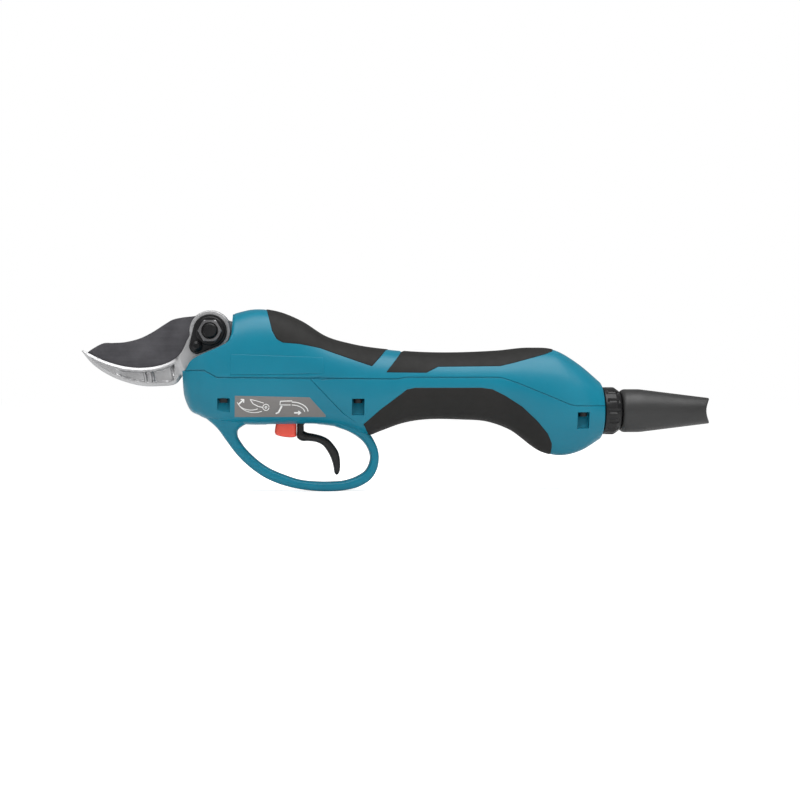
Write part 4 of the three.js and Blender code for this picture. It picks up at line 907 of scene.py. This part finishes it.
# the finger guard, from its root in the nose round to its root under the grip; it widens at both roots
guardStations = [
    [-6.5, -45.0, 25, -47.6, 11.0], [-1.8, -48.6, 21, -50.6, 9.4], [3.2, -53.0, 16.4, -53.4, 7.6],
    [8.2, -59.7, 15.0, -56.8, 6.3], [14, -67.5, 17.8, -62.6, 5.6], [21.5, -75.0, 24.6, -69.9, 5.5],
    [30, -81.0, 32.4, -75.6, 5.5], [39, -84.9, 41.2, -79.5, 5.5], [48, -87.2, 49.6, -82.2, 5.5],
    [57.4, -88.5, 58.4, -83.2, 5.5], [67, -88.8, 67, -83.3, 5.5], [76, -88.0, 74.4, -82.7, 5.5],
    [84, -85.6, 81.2, -80.4, 5.5], [89.6, -81.6, 85.8, -77.4, 5.5], [92.6, -76.4, 88.0, -73.6, 5.5],
    [93.6, -71, 88.6, -69.8, 5.5], [93.0, -65.6, 87.4, -65.2, 5.6], [91.0, -60.8, 83.8, -60.2, 6.2],
    [88.8, -57.2, 77.0, -55.7, 7.2], [86.2, -53.8, 69.4, -52.9, 8.6], [83.6, -50.6, 62.0, -50.0, 10.2]]
guard = makeObject("fingerGuard", *ringBody(bandRings(guardStations, 150, 40, 3.4)), sharpAngle=60)
settle(guard, "root", "housing_turquoise", turquoise)

triggerStations = [
    [57.2, -46.0, 50.6, -44.6, 4.4], [54.6, -49.2, 48.0, -48.4, 5.0], [51.9, -51.6, 47.9, -51.6, 5.0],
    [51.8, -53.6, 47.9, -55.2, 5.0], [52.0, -55.2, 48.0, -59.0, 5.0], [53.4, -55.9, 49.8, -60.4, 5.0],
    [57.3, -56.7, 54.6, -60.8, 4.9], [61.8, -57.9, 59.0, -61.5, 4.8], [65.1, -59.5, 62.0, -63.0, 4.7],
    [68.4, -62.9, 64.4, -65.8, 4.6], [70.9, -66.8, 66.4, -69.4, 4.4], [72.0, -72.3, 67.9, -73.8, 4.2],
    [71.8, -77.2, 68.6, -77.8, 4.0], [71.2, -79.6, 69.0, -79.8, 3.8]]
triggerRings = bandRings(triggerStations, 90, 32, 2.9, (1.4, 1.8))
fingerTrigger = makeObject("fingerTrigger", *ringBody(triggerRings), 60)
settle(fingerTrigger, "trigger", "black_plastic", finishes["black_plastic"], "trigger")

lockStations = [
    [44.8, -44.8, 38.2, -44.8, 4.2], [46.6, -48.4, 36.9, -48.4, 4.5], [47.6, -51.4, 36.2, -51.4, 4.6],
    [47.7, -54.0, 35.7, -54.0, 4.6], [47.7, -56.6, 35.6, -56.2, 4.6], [47.6, -59.3, 36.6, -58.1, 4.5]]
lockLever = makeObject("lockLever", *ringBody(bandRings(lockStations, 50, 36, 4.2, (1.2, 1.3))), 60)
settle(lockLever, "lock", "lock_red", finishes["lock_red"], "lock_lever")
print("guard, trigger and lock done")

# ---- cable end: a fluted coupling ring and a tapered boot, turned about the cable's line

cable = {"ringR": 13.4, "flutes": 14, "fluteDepth": 0.75, "bootR": 12.2, "bootEndR": 7.2,
         "bootLength": 52.0, "bore": 4.2, "plugR": 7.2, "mouthDepth": 3.4}
ringFront, ringRear = (nodeBox["coupling_ring"][k][0] for k in (0, 1))
bootFront = nodeBox["cable_boot"][0][0]
bootRear = bootFront + cable["bootLength"]


# flutes are shallow hollows, a power of a cosine round the ring, that fade out at its two collars
def fluted(x, radius, angle):
    hollow = np.clip(np.cos(cable["flutes"] * angle), 0, 1) ** 0.6
    span = ease(x, ringFront + 1.4, ringFront + 2.4) * (1 - ease(x, ringRear - 2.2, ringRear - 1.0))
    outer = ease(radius, 11.9, 12.6)
    return x, radius - cable["fluteDepth"] * hollow * span * outer


# a profile whose steps longer than a reach along X are cut into count - 1 even ones
def finely(profile, longest, count):
    parts = []
    for first, second in zip(profile[:-1], profile[1:]):
        isLong = abs(second[0] - first[0]) > longest
        parts.append(straightRows([first, second], np.linspace(0, 1, count)[:-1]) if isLong else [first])
    return np.concatenate(parts + [profile[-1:]])


ringProfile = rounded([
    [ringFront, 11.2], [ringFront, cable["ringR"] - 0.1], [ringRear - 3.4, cable["ringR"]],
    [ringRear, cable["ringR"] - 2.4], [ringRear, 7.4], [ringRear - 2, 7.4], [ringRear - 2, 11.2]], 0.7)
ringRows = finely(ringProfile, 2, 9)
ringShape = turnedX(ringRows, 0, cableZ, 224, fluted, loop=True)
couplingRing = makeObject("couplingRing", *ringShape, sharpAngle=40)
settle(couplingRing, "ring", "black_plastic", finishes["black_plastic"], "coupling_ring")


# the boot's end is a fish mouth: it is drawn in at mid height, by the square of the cosine round it
def fishMouth(x, radius, angle):
    share = ease(x, bootRear - 14, bootRear)
    level = np.abs(np.sin(angle)) * radius / cable["bootEndR"]
    inward = cable["mouthDepth"] * np.clip(1 - level ** 2, 0, 1)
    return x - inward * share, radius


bootProfile = rounded([
    [bootFront, cable["plugR"] + 0.2], [bootFront, cable["bootR"] - 1.3], [bootFront + 1.8, cable["bootR"]],
    [bootFront + 11, cable["bootR"]], [bootRear, cable["bootEndR"]], [bootRear, cable["bore"] + 0.6],
    [bootFront + 7, cable["bore"]], [bootFront + 7, cable["plugR"] + 0.2]], 1.1)
bootRows = finely(bootProfile, 5, 25)
cableBoot = makeObject("cableBoot", *turnedX(bootRows, 0, cableZ, 128, fishMouth, loop=True), sharpAngle=50)
settle(cableBoot, "root", "rubber_black", bootRubber, "cable_boot")
print("cable end done")

# ---- cutting head

head = {"lugR": 11.4, "counterOut": -7.1, "counterIn": -1.9, "bladeHalf": 1.6, "frameOut": 7.3,
        "bushingBore": 6.75, "pinBore": 2.7,
        "plateOut": -8.9, "plateIn": -7.3, "nutOut": -14.3, "nutIn": -9.1, "nutAcross": 13.4, "boltR": 4.0,
        "boltTurn": 4.35, "washerR": 9.25, "lobe": (-7.2, -8.4, 4.2)}


# a plate seen from the side as rungs between two border lines (x, z to x, z); faceY(x, z, edge) gives its
# near face, edge being the distance to the border in mm, and backY the far one
def rungPlate(first, second, count, across, faceY, backY, lip):
    rows = np.concatenate([np.array(first, float), np.array(second, float)], 1)
    middle = (rows[:, :2] + rows[:, 2:]) / 2
    along = np.concatenate([[0], np.cumsum(np.hypot(*np.diff(middle, axis=0).T) + 0.35 * np.hypot(
        *np.diff(rows[:, :2], axis=0).T) + 0.35 * np.hypot(*np.diff(rows[:, 2:], axis=0).T))])
    length = along[-1]
    shares = shareLines(count, np.array([[length]]), lip, lip)[:, 0]
    ends = np.stack([contour(np.stack([along / length, column], 1))(shares) for column in rows.T], -1)
    rung = np.hypot(ends[:, 2] - ends[:, 0], ends[:, 3] - ends[:, 1])
    t = shareLines(across, np.maximum(rung, 2.2 * lip)[None, :], lip, lip).T
    x = ends[:, 0:1] * (1 - t) + ends[:, 2:3] * t
    z = ends[:, 1:2] * (1 - t) + ends[:, 3:4] * t
    outline = np.concatenate([ends[:, :2], ends[::-1, 2:]])
    edge = np.minimum(insideBy(x, z, outline[::3]).clip(0), np.minimum(t, 1 - t) * rung[:, None])
    edge = np.minimum(edge, np.minimum(shares, 1 - shares)[:, None] * length)
    round_ = lip * (1 - np.sqrt(np.clip(1 - np.clip(1 - edge / lip, 0, 1) ** 2, 0, 1)))
    near = faceY(x, z, edge) + round_
    far = np.full_like(x, backY) - round_ * 0.6
    return closedBody(np.stack([x, near, z], -1), np.stack([x, np.maximum(far, near + 0.12), z], -1))


def lugArc(first, last, radius, count):
    turn = np.radians(np.linspace(first, last, count))
    return np.stack([radius * np.cos(turn), radius * np.sin(turn)], -1).tolist()


# the counter blade: a round lug, a neck and a hook with a sunk, ribbed side
hookTop = [[-12.9, -5.6], [-14.6, -9.6], [-17, -13.2], [-20.8, -16.1], [-25.2, -18.1], [-31.7, -19.7],
           [-39.3, -20.2], [-46.4, -19.5], [-53.4, -17.8], [-59.9, -15.4], [-66.4, -12.1], [-69.6, -10.6]]
hookBelow = [[1.6, -12.4], [-5.2, -15.4], [-11.6, -19.2], [-15.2, -24.6], [-18.6, -28.8], [-28.4, -30.3],
             [-37.4, -30.1], [-45.6, -28.2], [-53.2, -25.3], [-60.4, -21.1], [-66.0, -16.2], [-69.9, -11.2]]
lugLeft = lugArc(94, 190, head["lugR"], 8)
lugRight = lugArc(86, -34, head["lugR"], 8)
lugRight[-1] = [8.6, -7.6]
counterFirst, counterSecond = lugLeft + hookTop, lugRight + hookBelow


# the hook's side: the lug stands proud, a hollow runs along the hook with ribs across it
def counterFace(x, z, edge):
    step = 1 - ease(x + 0.35 * z, -24.5, -21.5)
    bevel = 0.5 * (1 - ease(edge, 0.2, 1.7)) * step
    upper = np.interp(x, [p[0] for p in hookTop[::-1]], [p[1] for p in hookTop[::-1]])
    belowHook = upper - z
    floor = ease(belowHook, 2.1, 2.7) * ease(edge, 2.2, 2.9) * ease(x, -52, -46) * (1 - ease(x, -20.4, -19.2))
    ribs = sum(np.exp(-((x + 0.22 * z - place) / 0.6) ** 2) for place in (-41.0, -36.8, -25.6))
    floor = floor * (1 - 0.85 * np.clip(ribs, 0, 1))
    return head["counterOut"] + 1.2 * step + bevel + 2.3 * floor


counterBlade = makeObject("counterBlade", *rungPlate(counterFirst, counterSecond, 190, 44, counterFace,
                                                      head["counterIn"], 0.5), sharpAngle=50)
cutAway(counterBlade, barObject("counterBore", head["boltTurn"], -20, 20, 0, 0))
settle(counterBlade, "root", "blade_steel", finishes["blade_steel"], "counter_blade")

# the cutting blade: a ground edge below, a stiff back, a round lug and the tail that carries the drive pin
bladeBack = [[-67.5, -11.9], [-64.2, -9.6], [-58.8, -6.75], [-53.3, -6.45], [-46.8, -6.0], [-38.6, -3.9],
             [-32, -0.6], [-24.9, 4.0], [-20.6, 6.5], [-15, 7.8], [-8.4, 8.6]]
bladeEdge = [[-67.7, -12.3], [-65.6, -15.4], [-62.2, -18.2], [-57.4, -20.9], [-51, -23.4], [-44, -24.8],
             [-36.6, -25.0], [-28, -23.6], [-20.8, -20.8], [-14.6, -17.4], [-9.2, -13.8]]
pin = fromPivot(middleOf("drive_pin"))
tailTurn = math.atan2(-pin[2], pin[0])
reach = math.hypot(pin[0], pin[2]) + 5.4
tailRight = [[pin[0] + 5.0 * math.sin(tailTurn), pin[2] + 5.0 * math.cos(tailTurn)],
             [pin[0] + 4.6, pin[2] - 1.8], [pin[0] + 2.8, pin[2] - 4.6]]
tailLeft = [[pin[0] - 5.0 * math.sin(tailTurn), pin[2] - 5.0 * math.cos(tailTurn)],
            [pin[0] - 2.6, pin[2] - 4.8], [pin[0] + 1.6, pin[2] - 5.3]]
bladeFirst = bladeBack + lugArc(96, -14, 10.2, 9) + [[10.9, -8], [13.6, -14.4]] + tailRight
bladeSecond = bladeEdge + [[-6.4, -11.6], [-5.6, -11.6], [-4.9, -11.5], [-4.2, -11.4], [-3.5, -11.8],
                           [-2.8, -12.4], [-2.0, -13], [-1.2, -13.8], [-0.2, -14.8], [1.4, -16.6],
                           [3.6, -19.2]] + tailLeft


# its near face: ground back towards the edge over a few millimetres
def bladeFace(x, z, edge):
    lower = np.interp(x, [p[0] for p in bladeEdge], [p[1] for p in bladeEdge])
    above = z - lower
    ground = 1.0 * (1 - ease(above, 0.2, 4.6)) * (1 - ease(x, -12, -6))
    return -head["bladeHalf"] + ground


cuttingBlade = makeObject("cuttingBlade", *rungPlate(bladeFirst, bladeSecond, 200, 40, bladeFace,
                                                      head["bladeHalf"], 0.3), sharpAngle=50)
cutAway(cuttingBlade, barObject("bladeBore", head["bushingBore"], -20, 20, 0, 0),
        barObject("pinBore", head["pinBore"], -20, 20, pin[0], pin[2]))
settle(cuttingBlade, "blade", "blade_coated", finishes["blade_coated"], "cutting_blade")


# a six-sided nut: radius = half the flat-to-flat width over the cosine to the nearest flat's middle,
# cut back by a cone at each end
def hexagon(y, radius, angle):
    fromFlat = np.mod(angle, math.pi / 3) - math.pi / 6
    flat = head["nutAcross"] / 2 * math.cos(math.pi / 6) / np.cos(fromFlat)
    endCone = np.minimum(y - head["nutOut"], head["nutIn"] - y)
    cone = head["nutAcross"] / 2 - 0.75 + endCone * 1.7
    outer = radius > head["nutAcross"] / 2 - 1e-6
    return y, np.where(outer, np.minimum(flat, cone), radius)


full, bore = head["nutAcross"] / 2, head["boltR"] + 0.2
nutRows = [[head["nutOut"] + 0.5, bore], [head["nutOut"], bore + 0.5], [head["nutOut"], 5.2]]
nutRows += [[y, full] for y in np.linspace(head["nutOut"], head["nutIn"], 16)]
nutRows += [[head["nutIn"], 5.2], [head["nutIn"], bore]]
pivotNut = makeObject("pivotNut", *turnedY(nutRows, 0, 0, 144, hexagon, loop=True), sharpAngle=28)
# the nut takes the lighter grey steel with its painted sheen, though its slot is black_steel
settle(pivotNut, "root", "black_steel", nutSteelPaintedSheen, "pivot_nut")

# the bolt: a chamfered threaded end inside the nut, a shank, and a round head with a hexagon socket
boltEnd, boltHeadIn, boltHeadOut = head["nutOut"] - 1.2, head["frameOut"] + 0.2, head["frameOut"] + 3.6


# a hexagon socket: past a distance along Y, radii within the given one are divided by the cosine to the
# nearest flat's middle
def socketed(within, beyond=-100.0):
    def reshape(y, radius, angle):
        fromFlat = np.mod(angle, math.pi / 3) - math.pi / 6
        return y, np.where((radius < within) & (y > beyond), radius * 0.9 / np.cos(fromFlat), radius)

    return reshape


boltRows = [[boltEnd, 0.02], [boltEnd, 3.3], [boltEnd + 0.6, 3.95], [head["nutIn"], 3.95], [boltHeadIn, 3.95],
            [boltHeadIn, 7.0], [boltHeadIn + 0.4, 7.4], [boltHeadOut - 1.0, 7.4], [boltHeadOut - 0.3, 7.0],
            [boltHeadOut, 6.3], [boltHeadOut, 3.6], [boltHeadOut - 0.25, 3.4], [boltHeadOut - 2.4, 3.4],
            [boltHeadOut - 2.6, 0.02]]
pivotBolt = makeObject("pivotBolt", *turnedY(boltRows, 0, 0, 96, socketed(3.45, boltHeadIn)), sharpAngle=28)
settle(pivotBolt, "root", "black_steel", finishes["black_steel"], "pivot_bolt")


# the outline round two circles, as points at even angles: the further of the two circles' support points
def teardrop(radius, lobeX, lobeZ, lobeRadius, count=160):
    turn = np.linspace(0, 2 * np.pi, count, endpoint=False)
    ray = np.stack([np.cos(turn), np.sin(turn)], -1)
    support = np.maximum(radius, ray @ np.array([lobeX, lobeZ]) + lobeRadius)
    slope = (np.roll(support, -1) - np.roll(support, 1)) / (2 * (turn[1] - turn[0]))
    return ray * support[:, None] + np.stack([-np.sin(turn), np.cos(turn)], -1) * slope[:, None]


# a flat washer of any outline with a round hole: rings from the hole to the outline, edges rolled
def washer(outline, holeRadius, near, far, lip=0.35):
    turn = np.arctan2(outline[:, 1], outline[:, 0])
    hole = np.stack([np.cos(turn), np.sin(turn)], -1) * holeRadius
    shares = np.array([0, 0.02, 0.05, 0.5, 0.9, 0.955, 0.985, 1])
    drop = np.array([lip, 0.3 * lip, 0, 0, 0, 0.12 * lip, 0.42 * lip, lip])
    spread = hole[None] + (outline - hole)[None] * shares[:, None, None]
    front = [np.concatenate([ring, np.full((len(ring), 1), near + d)], 1) for ring, d in zip(spread, drop)]
    back = [np.concatenate([ring, np.full((len(ring), 1), far)], 1) for ring in spread[::-1]]
    rings = np.array(front + back)[..., [0, 2, 1]]
    return ringBody(rings, loop=True)


lobeX, lobeZ, lobeR = head["lobe"]
plateEdge = teardrop(head["washerR"], lobeX, lobeZ, lobeR)
lockPlate = makeObject("lockPlate", *washer(plateEdge, 4.4, head["plateOut"], head["plateIn"]), sharpAngle=50)
settle(lockPlate, "root", "black_steel", finishes["black_steel"], "lock_plate")
collarRows = rounded([[-9.05, 4.4], [-9.6, 4.4], [-9.6, 7.5], [-9.05, 8.1]], 0.2)
collar = makeObject("nutCollar", *turnedY(collarRows, 0, 0, 96, loop=True), sharpAngle=40)
settle(collar, "root", "black_steel", finishes["black_steel"])


# a button-head screw in the plate's lobe: a dome with a hexagon socket
dome = [[-9.1 - 2.0 * math.sin(t), 3.2 * math.cos(t)] for t in np.linspace(0.05, 1.02, 9)]
screwRows = [[-3.4, 0.02], [-3.4, 1.55], [-9.1, 1.55], [-9.1, 3.05]] + dome + [
    [-11.1, 1.35], [-11.0, 1.2], [-10.0, 1.2], [-9.9, 0.02]]
lockScrew = makeObject("lockScrew", *turnedY(screwRows, lobeX, lobeZ, 72, socketed(1.25)), sharpAngle=30)
settle(lockScrew, "root", "black_steel", finishes["black_steel"], "lock_screw")

# ---- walls that close the housing's mouth round the head, following its edge from the seam to the crest

def mouthWall(name, path, inner, side):
    rows = straightRows(path, np.linspace(0, 1, 60)) + [0.35, -0.25]
    x, z = rows[:, 0:1], rows[:, 1:2]
    outside = skin(x, angleAt(x, z))[..., 1] * -side
    share = np.linspace(0, 1, 12)[None, :]
    y = outside * 0.94 * (1 - share) + inner * side * share
    thick = np.array([1.5, -1.0])
    near = np.stack([x + 0 * y, y, z + 0 * y], -1)
    far = np.stack([x + 0 * y + thick[0], y, z + 0 * y + thick[1]], -1)
    wallThing = makeObject(name, *closedBody(near, far))
    return settle(wallThing, "root", "housing_turquoise", turquoise)


mouthPath = edges["head"][:-1] + [[12.2, topLine(12.2) - 0.4]]
mouthWall("mouthWallNear", mouthPath, 7.6, -1)
mouthWall("mouthWallFar", mouthPath, 7.9, 1)
mouthTop = [[11.8, 5.4], [12.2, topLine(12.2) - 0.4]]
topWall = np.linspace(-7.5, 7.8, 8)[None, :]
pathRows = straightRows(mouthTop, np.linspace(0, 1, 8)) + [0.35, 0]
grid = np.stack(np.broadcast_arrays(pathRows[:, 0:1], topWall, pathRows[:, 1:2]), -1)
mouthWallTop = makeObject("mouthWallTop", *closedBody(grid, grid + [1.6, 0, 0]))
settle(mouthWallTop, "root", "housing_turquoise", turquoise)
print("head done")

# ---- floor, light and camera

low = cadLow[2]
view = {"azimuth": -5.0, "distance": 0.92, "lens": 73.9, "aim": (-0.0008, 0.0, 0.0005)}


# a flat pale floor that reaches far past the view on every side
floorReach, floorStep = 40.0, np.linspace(-1, 1, 9)
floorGrid = np.stack([*np.meshgrid(floorStep * floorReach, floorStep * floorReach, indexing="ij"),
                      np.full((9, 9), low)], -1)
floorMesh = bpy.data.meshes.new("paleFloor")
floorMesh.from_pydata(floorGrid.reshape(-1, 3).tolist(), [], quads(np.arange(81).reshape(9, 9)).tolist())
paleFloor = bpy.data.objects.new("paleFloor", floorMesh)
bpy.context.scene.collection.objects.link(paleFloor)
floorFinish = moulded("paleFloor", (246, 246, 246), (250, 250, 250), 0.8, 60.0, 0.0, 0.1)
floorShader = floorFinish.node_tree.nodes["Principled BSDF"]
floorShader.inputs["Emission Color"].default_value = (1, 1, 1, 1)
floorTree, floorGlow = floorFinish.node_tree, 0.72
floorRays = floorTree.nodes.new("ShaderNodeLightPath")  # it glows for the camera alone
glow = math2(floorTree, "MULTIPLY", floorRays.outputs["Is Camera Ray"], floorGlow)
floorTree.links.new(glow, floorShader.inputs["Emission Strength"])
floorMesh.materials.append(floorFinish)

lights = {  # name: place, size, watts
    "above": ((0.1, -0.45, 1.1), (1.5, 1.0), 19.0),
    "frontLeft": ((-0.9, -1.2, 0.55), (0.9, 0.9), 2.2),
    "frontRight": ((0.85, -1.3, 0.4), (0.7, 0.9), 1.2),
}
for name, (place, size, watts) in lights.items():
    data = bpy.data.lights.new(name, "AREA")
    data.shape = "RECTANGLE"
    data.size, data.size_y, data.energy = size[0], size[1], watts
    lamp = bpy.data.objects.new(name, data)
    lamp.location = place
    lamp.rotation_euler = Vector(place).to_track_quat("Z", "Y").to_euler()
    bpy.context.scene.collection.objects.link(lamp)

# a white room: full strength where the camera sees it, dimmer as light
world = bpy.data.worlds.new("paleRoom")
world.use_nodes = True
roomNodes, roomLinks = world.node_tree.nodes, world.node_tree.links
lit, seen = roomNodes["Background"], roomNodes.new("ShaderNodeBackground")
for background, strength in ((lit, 0.3), (seen, 1.0)):
    background.inputs["Color"].default_value = (1, 1, 1, 1)
    background.inputs["Strength"].default_value = strength
rays, either = roomNodes.new("ShaderNodeLightPath"), roomNodes.new("ShaderNodeMixShader")
roomLinks.new(rays.outputs["Is Camera Ray"], either.inputs["Fac"])
roomLinks.new(lit.outputs[0], either.inputs[1])
roomLinks.new(seen.outputs[0], either.inputs[2])
roomLinks.new(either.outputs[0], roomNodes["World Output"].inputs["Surface"])
bpy.context.scene.world = world
bpy.context.scene.view_settings.view_transform = "Standard"

camera = bpy.data.objects.new("camera", bpy.data.cameras.new("camera"))
camera.data.lens = view["lens"]
turnAngle = math.radians(view["azimuth"])
camera.location = (view["aim"][0] + view["distance"] * math.sin(turnAngle),
                   view["aim"][1] - view["distance"] * math.cos(turnAngle), view["aim"][2])
camera.rotation_euler = (math.pi / 2, 0, turnAngle)
bpy.context.scene.collection.objects.link(camera)
bpy.context.scene.camera = camera
